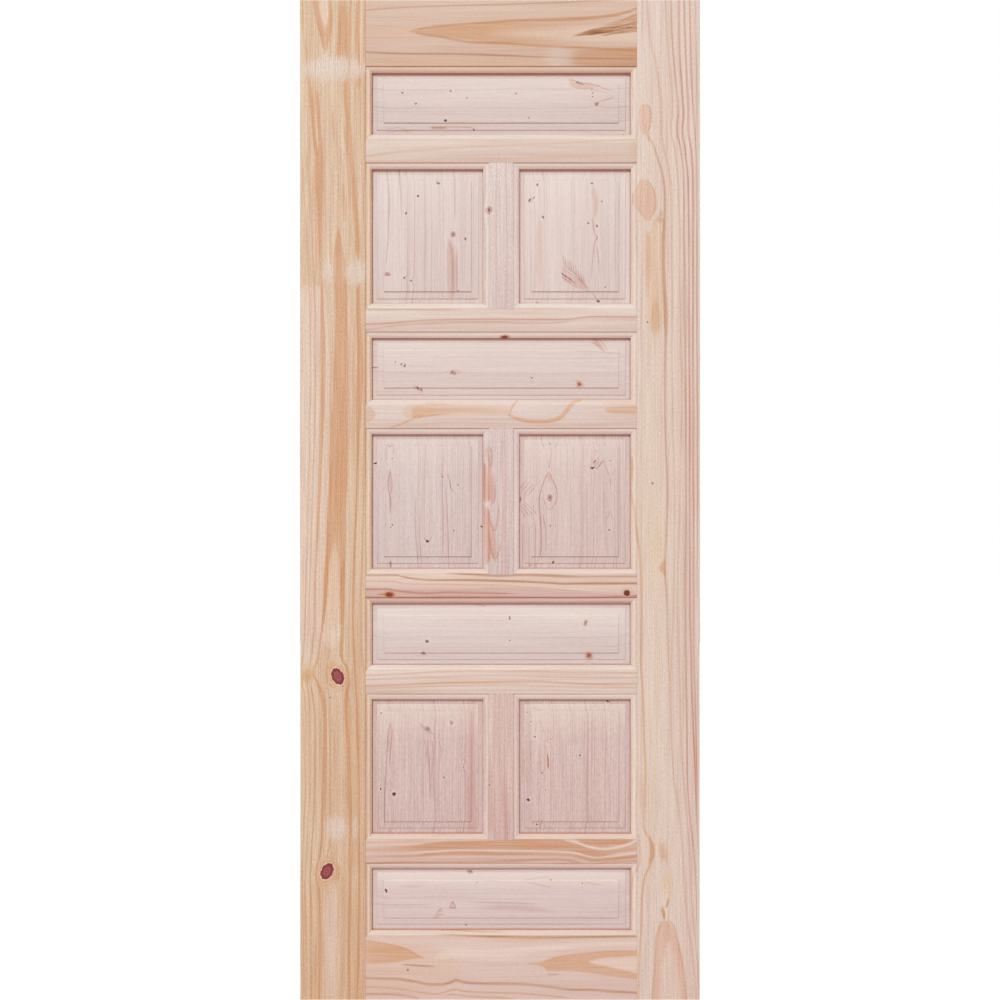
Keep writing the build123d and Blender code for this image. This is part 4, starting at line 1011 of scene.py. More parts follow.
FIGURES["muntin_2"] = [
    Streak("#d39d86", 0.65, 1.2, [(489, 462, 0), (490, 472, 2.6), (490.6, 485, 3.6), (490.6, 494, 3.2),
        (490, 501, 0)]),
    Streak("#d09882", 0.65, 1.0, [(487, 503, 0), (488.4, 515, 2.6), (490.6, 530, 4.0), (492.8, 545, 3.6),
        (494.6, 556, 1.8), (496, 562, 0)]),
    # wavy grain along the left edge, where a branch was cut away
    Streak(ROSE, 0.6, 1.0, [(487, 440, 0), (488, 450, 3), (489, 462, 3.4), (488, 470, 0)]),
    Streak(RED, 0.85, 0.7, [(488.5, 443, 0), (487.4, 449, 0.8), (488.6, 457, 0.8), (490.6, 465, 0.7),
        (491.2, 468, 0)]),
    Streak(RED, 0.85, 0.7, [(489.5, 443, 0), (491.6, 449, 0.8), (492.4, 457, 0.9), (491.8, 463, 0.7),
        (490.6, 468, 0)]),
    Streak(CLAY, 0.9, 1.4, [(484, 458, 0), (485.5, 470, 2.4), (486.4, 484, 3.2), (486.6, 496, 3.4),
        (486, 503, 0)]),
    Streak(ROSE, 0.6, 0.9, [(491, 472, 0), (492.6, 486, 2.2), (493.4, 497, 2.4), (491.4, 503, 0)]),
    Streak(RED, 0.75, 0.6, [(494.4, 470, 0), (495.4, 484, 0.6), (495.2, 496, 0.7), (492.6, 503, 0.8),
        (490, 505, 0)]),
    Streak(CLAY, 0.9, 1.2, [(485.6, 503, 0), (486.4, 510, 2), (487, 524, 2.4), (488, 540, 2.8),
        (488, 556, 2.6), (486.5, 566, 0)]),
    Streak(RED, 0.85, 0.7, [(487, 504.5, 0), (488.6, 510, 0.9), (490, 520, 0.9), (492, 526, 0.8),
        (494, 529.6, 0.9), (495, 530.4, 0)]),
    Streak(RED, 0.7, 0.6, [(498.6, 500, 0), (498.6, 510, 0.6), (497.2, 521, 0.7), (495.4, 529, 0.7),
        (494, 531, 0)]),
    Streak(RED, 0.85, 0.7, [(487.8, 524, 0), (489.4, 536, 0.8), (491, 546, 0.9), (493, 554, 1.1),
        (494.6, 559.6, 0)]),
    Streak(RED, 0.7, 0.6, [(501.2, 540, 0), (499.4, 549, 0.7), (497, 556, 0.8), (494.8, 560, 0)]),
    Streak(ROSE, 0.5, 1.0, [(505, 427, 0.9), (506, 500, 0.9), (505, 573, 0.9)]),
    Streak(ROSE, 0.4, 0.8, [(501, 427, 0.7), (503, 500, 0.7), (502, 573, 0.7)]),
]
FIGURES["muntin_3"] = [
    Streak(ROSE, 0.75, 0.8, [(495, 690, 0.9), (494.5, 760, 0.9), (495, 840, 0.9)]),
    Streak(ROSE, 0.75, 0.8, [(500, 690, 0.9), (499.5, 760, 0.9), (500, 840, 0.9)]),
    Streak(ROSE, 0.65, 0.8, [(505.5, 690, 0.9), (505, 760, 0.9), (506, 840, 0.9)]),
    Streak(RED, 0.4, 2.0, [(490, 740, 0), (490, 790, 3), (491, 820, 3), (491, 840, 0)]),
    Streak(RED, 0.4, 2.0, [(505, 760, 0), (505, 800, 3), (506, 840, 3)]),
    Knot("pin", 490, 783.2, 1.3, 1.3),
]
FIGURES["wide_panel_1"] = [
    # mark of a branch, its tails, and a smear
    Streak("#d3a797", 0.6, 0.7, [(568.5, 77, 0), (570, 78.5, 1.6), (573, 82, 4), (578, 83, 3.7),
        (586, 84.5, 2.7), (594, 85.6, 1.2), (600, 86, 0)]),
    Streak(RED, 0.85, 0.4, [(569.5, 76.8, 0), (573, 78, 0.5), (578, 79.8, 0.6), (584, 81, 0.6),
        (592, 82.6, 0.6), (597, 84, 0.6), (607, 88, 0.5), (618.8, 91.2, 0)]),
    Streak(DARK, 0.8, 0.4, [(575, 79.8, 0), (578, 80.8, 0.9), (581, 81.8, 0.7), (586, 83.4, 0)]),
    Streak(RED, 0.6, 0.5, [(573, 86.3, 0), (580, 87, 0.5), (590, 87.6, 0.5), (600, 90, 0.4), (610, 92, 0)]),
    Streak(RED, 0.7, 0.5, [(599, 101, 0), (603, 99.4, 0.6), (610, 97.6, 0.6), (618, 95.7, 0)]),
    Streak(BROWN, 0.75, 0.8, [(430, 126.2, 0), (434, 126.3, 1.2), (442, 126.4, 1.2), (448, 126.2, 0)]),
    Streak(BROWN, 0.55, 0.5, [(424, 125, 0), (440, 125.2, 0.5), (466, 125.6, 0.6), (480, 126.5, 0)]),
    Streak(RED, 0.5, 0.5, [(382, 125, 0), (390, 127.4, 0.5), (398, 126, 0.5), (408, 128.6, 0.5),
        (418, 128, 0)]),
    Streak(RED, 0.45, 0.5, [(380, 128.4, 0), (390, 130, 0.5), (402, 129, 0.5), (414, 131, 0)]),
    Knot("pin", 578.1, 80.5, 1.7, 1.2), Knot("pin", 402.8, 91.5, 1.6, 1.5),
    Knot("pin", 416.1, 102.6, 1.3, 2.0, 30),
    Knot("pin", 451.1, 89.7, 1.6, 1.5), Knot("faint", 467.5, 96.8, 1.5, 1.2),
    Knot("dark", 445.8, 119.6, 2.3, 1.7),
    Knot("pin", 474.2, 127.8, 1.5, 1.3), Knot("faint", 516.5, 92.3, 1.4, 1.2),
    Knot("pin", 529.2, 116.7, 1.3, 1.2),
    Knot("sound", 597.3, 102.9, 3.0, 2.7, -20), Knot("pin", 592.4, 88.6, 0.9, 0.8),
    Knot("pin", 593.3, 91.7, 0.9, 0.8),
    Knot("pin", 593.8, 95.7, 0.9, 0.8), Knot("pin", 624.6, 133.7, 1.6, 1.0, 30),
]
FIGURES["left_panel_1"] = [
    Streak(THREAD, 0.6, 0.5, [(386.8, 172, 0.5), (388.7, 189.6, 0.5), (389.2, 204.5, 0.5),
        (388.7, 224, 0.5), (388.2, 244, 0.5), (386.8, 258.8, 0.5), (385.8, 273.6, 0)]),
    Streak(THREAD, 0.5, 0.6, [(399, 172, 0.8), (399.6, 178.8, 0.9), (400.6, 189.6, 0.8),
        (401.6, 207.4, 0.5), (401.6, 230, 0)]),
    Streak(THREAD, 0.6, 0.5, [(454, 172, 0.5), (455.4, 189.6, 0.6), (455.4, 214.3, 0.5), (454.4, 224, 0)]),
    Streak(BLUSH, 0.6, 1.6, [(450, 238, 0), (451, 250, 3.6), (452, 270, 4.8), (452, 290, 4),
        (452, 304, 0)]),
    Streak(RED, 0.8, 0.6, [(449, 240, 0), (451, 247, 0.7), (452.6, 256, 0.8), (453, 270, 0.8),
        (453, 283.5, 0.7), (452.5, 303, 0)]),
    Streak(RED, 0.6, 0.6, [(456, 246, 0), (457.4, 258, 0.6), (457.4, 280, 0.6), (456, 303, 0)]),
    Knot("pin", 438.6, 184.5, 2.6, 1.6, 20), Knot("pin", 418.4, 197.4, 1.9, 1.7),
    Knot("pin", 406.2, 214.6, 1.4, 1.8, -20),
    Knot("sound", 453.7, 235.9, 3.4, 3.6, 0, 5.0), Knot("pin", 465.8, 240.5, 1.6, 2.2),
    Knot("sound", 387.7, 275.8, 3.4, 2.8),
    Knot("pin", 404.5, 279.4, 1.3, 1.3), Knot("pin", 411.3, 282.3, 1.4, 1.7),
    Knot("pin", 458.4, 292.4, 1.2, 1.3),
]
FIGURES["right_panel_1"] = [
    # a branch cut lengthwise, with the grain bent round its upper side
    Streak("#d3a79a", 0.6, 0.7, [(562.6, 267, 0), (562.8, 268.8, 0.6), (564.6, 272, 2.4),
        (567.6, 276, 5.0), (570.6, 280, 7.4), (573, 282.4, 8.2), (577, 285.6, 7), (582, 289, 4.6),
        (588, 292, 1.6), (594, 296, 0.8), (599, 302.4, 0.8), (600, 304, 0)]),
    Streak(DARK, 0.95, 0.4, [(562.4, 273.6, 0), (563.2, 275.7, 1.0), (566.4, 278, 1.2),
        (569.4, 279.9, 1.0), (573.4, 283.2, 0.7), (577, 286, 0)]),
    Streak(DARK, 0.7, 0.4, [(562.4, 277.6, 0), (563.4, 279, 0.7), (566.4, 281, 0.7), (570, 283.4, 0.5),
        (573, 285.4, 0)]),
    Streak(RED, 0.6, 0.4, [(562.6, 267.6, 0), (563.4, 269, 0.6), (567.3, 272.6, 0.7), (573.2, 276.4, 0.7),
        (579.1, 280.9, 0.7), (584, 286.4, 0.6), (588, 290, 0)]),
    Streak(RED, 0.5, 0.4, [(562.6, 280.4, 0), (564, 282, 0.6), (569.2, 284.6, 0.6), (575.2, 288.4, 0.6),
        (582.1, 291.6, 0.6), (590, 293.4, 0.5), (596, 298, 0.5), (599, 303, 0)]),
    *[
        Streak(THREAD, 0.75, 0.4, [
            (x, y - 9, 0), (x + 0.4, y - 4, 0.4), (x + 1.4, y + 1, 0.5), (x + 3.4, y + 5, 0.6),
            (x + 6, y + 7.6, 0),
        ])
        for x, y in (
            (563, 264), (565.4, 265.4), (568, 267.4), (570.6, 269.6), (573.2, 272), (575.8, 274.6),
            (578.4, 277.4), (581, 280.4), (583.6, 283.6),
        )
    ],
    Streak(BLUSH, 0.6, 1.4, [(593.5, 186, 0), (594.6, 194, 2.2), (596.2, 203, 2.6), (595.4, 214, 1.8),
        (594, 222, 0)]),
    Streak(RED, 0.75, 0.5, [(592.4, 218, 0), (593.5, 223, 0.7), (595.4, 235.2, 0.7), (597.4, 238.6, 0.8),
        (595.4, 244, 0.7), (593.4, 256, 0.5), (592.5, 268.8, 0.5), (591.5, 283.6, 0)]),
    Streak(RED, 0.55, 0.5, [(595.6, 244, 0), (597.6, 252, 0.5), (599, 262, 0.5), (601.9, 288.6, 0)]),
    Streak("#d9b6a6", 0.5, 1.6, [(540, 216, 0), (540, 230, 3), (540, 270, 3.4), (540, 294, 0)]),
    Knot("pin", 537.6, 186.2, 1.2, 1.9), Knot("pin", 530.2, 201, 1.2, 3.2, 35),
    Knot("faint", 534, 199, 1.2, 2.8, 35),
    Knot("pin", 543.2, 218.4, 1.3, 2.1, -30), Knot("pin", 592.5, 184.5, 1.6, 1.6),
    Knot("pin", 602.1, 202.7, 1.2, 1.3),
    Knot("pin", 588.7, 224.6, 1.3, 1.4), Knot("pin", 597.4, 227.3, 1.2, 1.6),
    Knot("pin", 605.8, 288.6, 1.1, 1.1),
    Knot("faint", 537.6, 303.4, 2.0, 1.4), Knot("dark", 598.9, 302.4, 1.9, 1.8),
]
FIGURES["wide_panel_2"] = [
    Streak(SALMON, 0.75, 0.6, [(592, 339, 0), (595, 340.5, 1.6), (600, 345, 2.6), (604, 350, 1.8),
        (606.5, 353, 0)]),
    Streak(BRICK, 0.85, 0.5, [(590, 342.5, 0), (596, 344.6, 0.8), (601, 349, 0.8), (604, 353, 0)]),
    Streak(BRICK, 0.8, 0.5, [(598, 339, 0), (603, 343, 0.7), (607, 348.6, 0.7), (609, 352, 0)]),
    # tan round the knots
    Streak(FAWN, 0.6, 1.4, [(449, 374.5, 0), (452, 374, 2.2), (455, 374, 3.2), (458, 373.6, 1.6),
        (462, 373.4, 0)]),
    Streak(FAWN, 0.6, 1.2, [(412, 387, 0), (415, 388, 2), (418, 389.6, 2.8), (422, 391.5, 1.6),
        (425, 392.5, 0)]),
    Streak(DARK, 0.8, 0.4, [(371, 368.2, 0), (373.4, 368.3, 0.7), (376, 368.4, 0.6), (379.4, 368.3, 0)]),
    Streak(BLUSH, 0.5, 1.0, [(574, 380.6, 0), (578, 383, 2), (582, 385.6, 2.6), (586, 387, 0)]),
    Streak(THREAD, 0.45, 0.6, [(560, 352, 0), (590, 352.6, 0.6), (612, 354, 0.6), (626, 354.6, 0)]),
    Knot("pin", 405.1, 366.5, 1.3, 2.4, 30), Knot("faint", 402, 365, 1.2, 2.0, 30),
    Knot("pin", 395.7, 363, 1.0, 0.9),
    Knot("pin", 455.1, 374.6, 1.3, 2.8, 40), Knot("faint", 452.6, 373.6, 2.2, 3.0, 40),
    Knot("pin", 418, 389.3, 1.3, 2.6, -40),
    Knot("faint", 421.6, 390.6, 1.3, 2.0, -40), Knot("pin", 532.5, 379, 1.2, 1.1),
    Knot("resin", 580, 385.4, 2.6, 2.8),
]
FIGURES["left_panel_2"] = [
    # growth cone with a long tail
    Streak("#cfa79b", 0.6, 0.7, [(390.2, 466, 0), (390, 472, 0.8), (390, 480, 1.8), (390.3, 489, 2),
        (390.2, 494, 0.8), (390.4, 500, 1.0), (390.4, 510, 0.9), (390.3, 517, 0)]),
    Streak(THREAD, 0.8, 0.4, [(390.2, 467, 0), (389.2, 474, 0.5), (388.4, 481, 0.5), (389, 489, 0.5),
        (390, 494.6, 0.6), (390.6, 502, 0.6), (390.4, 516, 0)]),
    Streak(THREAD, 0.8, 0.4, [(390.2, 467, 0), (391.2, 474, 0.5), (392.2, 482, 0.5), (391.8, 489, 0.5),
        (390.4, 495, 0)]),
    Streak(THREAD, 0.6, 0.4, [(390.2, 441, 0), (388, 443.6, 0.5), (386.6, 448, 0.5), (386, 456, 0.4),
        (386, 464, 0)]),
    Streak(THREAD, 0.6, 0.4, [(390.2, 441, 0), (392.4, 443.6, 0.5), (393.8, 448, 0.5), (394, 456, 0)]),
    Streak(THREAD, 0.6, 0.5, [(416, 490, 0), (415.4, 510, 0.5), (416, 530, 0.5), (417, 545, 0.5),
        (418, 560, 0.5)]),
    Streak(THREAD, 0.6, 0.5, [(420, 500, 0), (420, 530, 0.5), (421.6, 560, 0.5)]),
    Streak(THREAD, 0.6, 0.5, [(443, 448, 0), (442.4, 470, 0.5), (443, 500, 0.6), (443.6, 530, 0.6),
        (443, 560, 0)]),
    Streak(THREAD, 0.6, 0.5, [(446, 478, 0), (447, 500, 0.5), (448.4, 530, 0.6), (449, 560, 0.6)]),
    Streak(THREAD, 0.85, 0.4, [(448, 472.6, 0), (448.6, 474.4, 0.5), (450, 479.3, 0.5),
        (451.2, 487.2, 0.5), (452.5, 492, 0)]),
    Streak(THREAD, 0.8, 0.4, [(453.8, 487.4, 0), (453.2, 490, 0.5), (452.5, 492, 0)]),
    Streak(DARK, 0.9, 0.4, [(390.4, 560, 0), (390.5, 561.2, 0.7), (390.7, 565.6, 0.8), (390.7, 567, 0)]),
    Streak(RED, 0.8, 0.4, [(424.6, 533, 0), (425, 537, 0.5), (426.4, 540, 0.8), (428, 541.6, 0)]),
    Streak(RED, 0.8, 0.4, [(431.6, 533, 0), (431, 537, 0.5), (429.8, 540, 0.8), (428, 541.6, 0)]),
    Knot("pin", 390.2, 445.2, 1.3, 0.9), Knot("pin", 392.7, 457.5, 1.1, 1.2),
    Knot("dark", 375.4, 462, 3.2, 1.1),
    Knot("pin", 442.9, 476, 1.4, 1.3), Knot("pin", 458.5, 483.9, 1.1, 1.2),
    Knot("pin", 392.7, 524, 1.5, 1.1, 30),
    Knot("pin", 390.9, 526.2, 0.9, 0.9), Knot("pin", 454.1, 529.4, 1.3, 1.3),
    Knot("dark", 428, 540, 2.4, 1.2), Knot("dark", 482, 525.5, 2.4, 0.8),
]
FIGURES["right_panel_2"] = [
    # eye of grain round a knot
    Streak(PEACH, 0.8, 0.8, [(549.1, 469, 0), (549.2, 473, 1.2), (549.4, 478, 2), (549.6, 482, 0)]),
    Streak(THREAD, 0.85, 0.4, [(549.1, 469.5, 0), (547.4, 473.4, 0.5), (545, 478.6, 0.6),
        (541.6, 488.2, 0.5), (539.6, 499, 0.5), (540, 509, 0.6), (541, 520, 0.7), (541.4, 540, 0.7),
        (541, 552.5, 0.6), (539, 562, 0)]),
    Streak(THREAD, 0.85, 0.4, [(549.3, 469.5, 0), (551, 474, 0.5), (553.4, 479.6, 0.6),
        (556.8, 488.2, 0.5), (557.4, 496, 0.4), (554.6, 504, 0.5), (551, 508, 0.6), (549.2, 510, 0)]),
    Streak(THREAD, 0.7, 0.4, [(543.4, 494, 0), (545, 501, 0.5), (547.4, 506.4, 0.5), (549.2, 510, 0)]),
    Streak(THREAD, 0.7, 0.4, [(543, 510, 0), (544, 518, 0.5), (545.6, 526, 0.6), (546.6, 540, 0.5),
        (545.8, 552, 0)]),
    Streak(THREAD, 0.6, 0.4, [(541.6, 434, 0.5), (542.2, 440, 0.5), (543.4, 444, 0.6), (546, 447, 0)]),
    Streak(THREAD, 0.6, 0.4, [(559, 436, 0), (557.6, 442, 0.5), (555.4, 446, 0.6), (553, 448, 0)]),
    Streak(THREAD, 0.5, 0.5, [(547, 449, 0), (548, 456, 0.4), (549, 464, 0.5), (549.3, 469, 0)]),
    Streak(THREAD, 0.5, 0.5, [(552, 449, 0), (551, 456, 0.4), (549.8, 464, 0.5), (549.3, 469, 0)]),
    # grain that fans out from half a knot at the edge
    Streak(THREAD, 0.75, 0.4, [(519, 489.6, 0), (522, 485.4, 0.5), (525, 481.4, 0.5), (528, 478, 0)]),
    Streak(THREAD, 0.75, 0.4, [(520.4, 492.6, 0), (524.4, 487.4, 0.5), (528.4, 482.6, 0.5), (532, 479, 0)]),
    Streak(THREAD, 0.75, 0.4, [(522.6, 495.4, 0), (527.4, 489.4, 0.5), (531.6, 484.6, 0.5),
        (535, 481.5, 0)]),
    Streak(THREAD, 0.75, 0.4, [(524.6, 498, 0), (530, 491.8, 0.5), (534, 487.4, 0.5), (537.4, 484.6, 0)]),
    Streak(THREAD, 0.75, 0.4, [(518.6, 505.6, 0), (521.6, 509.4, 0.5), (524.4, 513.6, 0.5),
        (526.4, 519, 0)]),
    Streak(THREAD, 0.75, 0.4, [(519, 502.6, 0), (524, 508, 0.5), (528, 512.6, 0.5), (530.4, 518, 0)]),
    Streak(THREAD, 0.75, 0.4, [(521, 501, 0), (527.4, 507.4, 0.5), (531.4, 511.6, 0.5), (534, 517, 0)]),
    Streak(THREAD, 0.75, 0.4, [(524.6, 500.6, 0), (530.6, 506, 0.5), (534.6, 510, 0.5), (537.4, 515, 0)]),
    Streak(THREAD, 0.6, 0.5, [(522, 519, 0), (523, 530, 0.5), (523, 562, 0.5)]),
    Streak(THREAD, 0.6, 0.5, [(528, 518, 0), (529.4, 530, 0.5), (529.4, 562, 0.5)]),
    Streak(THREAD, 0.6, 0.5, [(534, 516, 0), (535.6, 530, 0.5), (535.4, 562, 0.5)]),
    # slanting knot with strokes beside it
    Streak("#cfa396", 0.7, 0.6, [(598, 456, 0), (597, 459, 2.2), (595, 463, 3.6), (593, 467, 2.8),
        (591.4, 469.6, 0)]),
    Streak(DARK, 0.75, 0.4, [(603.4, 459, 0), (602.4, 460.6, 0.6), (600, 464, 0.6), (597.9, 466.6, 0.6),
        (596, 469, 0)]),
    Streak(DARK, 0.6, 0.4, [(595.6, 448, 0), (596.6, 450, 0.5), (598, 452.4, 0)]),
    Streak(RED, 0.6, 0.4, [(590.6, 462, 0), (591.6, 459.6, 0.5), (594, 457, 0.5), (597, 455.6, 0)]),
    Streak(THREAD, 0.6, 0.4, [(603, 455, 0), (605, 462, 0.5), (608.3, 471.4, 0.5), (610.7, 480, 0.5),
        (611, 488, 0)]),
    Streak(THREAD, 0.5, 0.4, [(615.6, 466, 0), (613.4, 474, 0.4), (611.2, 481, 0)]),
    Streak(THREAD, 0.6, 0.4, [(610.7, 508, 0), (609, 514, 0.5), (607.2, 520, 0)]),
    Streak(THREAD, 0.6, 0.4, [(610.9, 508, 0), (612.2, 514, 0.5), (613.4, 520, 0)]),
    Streak(THREAD, 0.55, 0.5, [(587.5, 474, 0), (587.5, 500, 0.5), (587.7, 540, 0.5), (587.5, 562, 0.5)]),
    Streak(THREAD, 0.5, 0.5, [(603.8, 470, 0), (604.4, 500, 0.5), (604, 550, 0)]),
    Knot("pin", 550.2, 442.5, 1.2, 1.2), Knot("sound", 550.2, 496.6, 3.2, 4.6, 0, 5.0),
    Knot("faint", 519.4, 498.2, 3.6, 3.8, 0, 4.0),
    Knot("pin", 595.4, 460.3, 1.3, 2.2, 35), Knot("dark", 593.2, 466.6, 3.2, 1.4, -20),
    Knot("pin", 610.7, 459.8, 1.0, 1.0),
    Knot("pin", 610, 528.8, 1.3, 1.3), Knot("pin", 550.9, 524.8, 0.8, 2.2, -15),
    Knot("dark", 553.4, 561.4, 1.6, 2.0), Knot("pin", 530.7, 564.4, 2.0, 0.9),
]
FIGURES["wide_panel_3"] = [
    Streak(RED, 0.6, 0.5, [(474, 601.6, 0), (478, 602.6, 0.6), (483, 603.4, 0.6), (487, 605, 0)]),
    Streak(SALMON, 0.7, 0.7, [(585.6, 650, 0), (588, 652, 2), (591, 654.4, 3), (594, 657, 0)]),
    Knot("pin", 427.4, 639.3, 3.0, 2.2), Knot("faint", 423.8, 651.3, 3.6, 2.4),
    Knot("pin", 510.2, 615.8, 1.3, 2.6),
    Knot("pin", 510.2, 638.2, 1.1, 1.0), Knot("sound", 586.4, 620.6, 2.4, 4.4, 18),
    Knot("resin", 589.7, 653.7, 3.2, 3.6, 20),
]
FIGURES["left_panel_3"] = [
    # long growth cone
    Streak("#cba296", 0.65, 0.8, [(390.5, 719, 0), (390.4, 726, 0.9), (390.2, 738, 1.8), (390, 748, 1.2),
        (390, 756, 0.6), (390, 764, 0)]),
    Streak(THREAD, 0.85, 0.4, [(390.5, 718, 0), (389.6, 724, 0.6), (388.7, 730, 0.6), (387.6, 746, 0.6),
        (386.4, 768.7, 0.6), (385.2, 787, 0.6), (384.9, 817.7, 0.6), (384.9, 830, 0)]),
    Streak(THREAD, 0.85, 0.4, [(390.5, 718, 0), (391.4, 724, 0.6), (392.4, 730, 0.6), (391.6, 742, 0.5),
        (390.2, 756, 0.5), (390, 766, 0)]),
    Streak(THREAD, 0.6, 0.4, [(390.2, 777, 0), (389, 781, 0.5), (388.2, 786, 0)]),
    Streak(THREAD, 0.6, 0.4, [(390.2, 777, 0), (391.4, 781, 0.5), (392.2, 786, 0)]),
    Streak("#cf9f8c", 0.6, 0.8, [(388, 696, 0), (388.4, 701, 1.8), (389.6, 707, 1.6), (390.4, 711, 0)]),
    # grain below the feathered knot
    Streak(THREAD, 0.7, 0.6, [(424, 734, 0), (425.6, 742, 0.5), (426.4, 752, 0.6), (426, 765, 0)]),
    Streak(THREAD, 0.75, 0.7, [(428.4, 736, 0), (428.2, 745, 0.8), (429, 758, 0.9), (430, 772, 0.8),
        (430.6, 787, 0.6), (430, 800, 0)]),
    Streak(THREAD, 0.75, 0.6, [(431.4, 736, 0), (433.4, 744, 0.6), (433.8, 754, 0.6), (432.6, 766, 0.5),
        (432, 780, 0)]),
    Streak(THREAD, 0.65, 0.6, [(437, 735, 0), (440, 742, 0.5), (441.4, 752, 0.5), (440.8, 764, 0)]),
    Streak(THREAD, 0.5, 0.6, [(437, 780, 0), (438, 795, 0.5), (437.4, 812, 0)]),
    Streak("#a98791", 0.5, 1.0, [(419, 720, 0), (423, 724, 2.2), (427, 728, 3.4), (431, 731, 2.2),
        (435, 734, 0)]),
    Streak(MAUVE, 0.7, 0.5, [(421, 722, 0), (423, 724.6, 0.8), (426, 728, 1.6), (429, 730.6, 1.4),
        (433.4, 732.4, 0)]),
    Streak(MAUVE, 0.6, 0.5, [(421.6, 727, 0), (423.6, 729.4, 0.6), (427, 732, 0.6), (431, 733.6, 0)]),
    Streak("#c79a90", 0.55, 1.6, [(472, 705, 4), (472, 760, 4), (472, 790, 4.4), (472, 830, 4.2)]),
    Knot("dark", 381.4, 711.5, 1.4, 1.3), Knot("faint", 428.4, 727, 4.2, 3.0, 30, 2.0),
    Knot("sound", 451.9, 720.9, 2.7, 2.9, 0, 2.0), Knot("dark", 394.4, 792.3, 2.3, 2.6),
    Knot("dark", 380.6, 787.3, 1.5, 1.3), Knot("pin", 390.2, 788.6, 0.9, 0.9),
    Knot("pin", 463.8, 765.6, 1.3, 1.3), Knot("pin", 443.9, 775.8, 1.3, 1.3),
    Knot("pin", 380.3, 825.3, 1.0, 0.9),
]
FIGURES["right_panel_3"] = [
    Streak("#b9603c", 0.95, 0.4, [(547.8, 751.6, 0), (548, 753.4, 0.5), (548.4, 759, 0.7),
        (548.6, 764, 0.8), (548.8, 768, 0)]),
    Streak(PEACH, 0.5, 0.8, [(547.8, 766, 0), (548.4, 775, 0.9), (548.4, 790, 0)]),
    Streak(THREAD, 0.7, 0.4, [(538.6, 716.4, 0), (537.4, 721, 0.5), (536, 726.4, 0.5), (535.4, 732, 0)]),
    Streak(THREAD, 0.7, 0.4, [(538.8, 716.4, 0), (541, 722, 0.5), (543.2, 728.6, 0.5), (542, 734, 0)]),
    Streak(THREAD, 0.6, 0.5, [(530, 742, 0), (530.6, 752, 0.5), (531, 764, 0)]),
    Streak(THREAD, 0.6, 0.5, [(523, 745, 0), (523, 765, 0.5), (523.4, 785, 0)]),
    Streak(THREAD, 0.65, 0.4, [(540.6, 740, 0), (539.6, 750, 0.5), (540.6, 764, 0.5), (541, 780, 0)]),
    Streak(THREAD, 0.6, 0.5, [(541, 780, 0), (540, 795, 0.6), (540.4, 806, 0)]),
    Streak(THREAD, 0.6, 0.5, [(563, 735, 0), (563.4, 760, 0.5), (563, 790, 0)]),
    Streak(RED, 0.7, 0.4, [(537.2, 823, 0), (538, 820, 0.5), (539.2, 818, 0.5), (540.4, 817, 0)]),
    Streak(RED, 0.7, 0.4, [(540.4, 817, 0), (541.6, 819, 0.5), (542, 822, 0.5), (541, 827, 0)]),
    Streak(BLUSH, 0.4, 1.6, [(527, 740, 0), (527, 752, 3), (527, 775, 2), (527, 790, 0)]),
    Knot("pin", 534.5, 706.4, 1.2, 1.2), Knot("pin", 527.6, 710.7, 1.1, 1.1),
    Knot("pin", 531.4, 719.7, 1.2, 1.2), Knot("pin", 535.5, 734.7, 1.3, 1.3),
    Knot("faint", 551.5, 737.2, 0.9, 0.9), Knot("pin", 542.3, 771.2, 1.1, 1.1),
    Knot("pin", 538.5, 781.1, 0.9, 0.9), Knot("pin", 545.6, 788, 1.1, 1.1),
    Knot("pin", 580.1, 753.4, 1.4, 1.3), Knot("faint", 577, 753.6, 0.9, 0.9),
    Knot("faint", 599.3, 772.8, 1.0, 1.0), Knot("dark", 608.2, 699.8, 2.2, 1.2, 30),
    Knot("dark", 528.8, 798.5, 2.5, 1.9), Knot("dark", 537.4, 823.3, 1.4, 1.3),
]
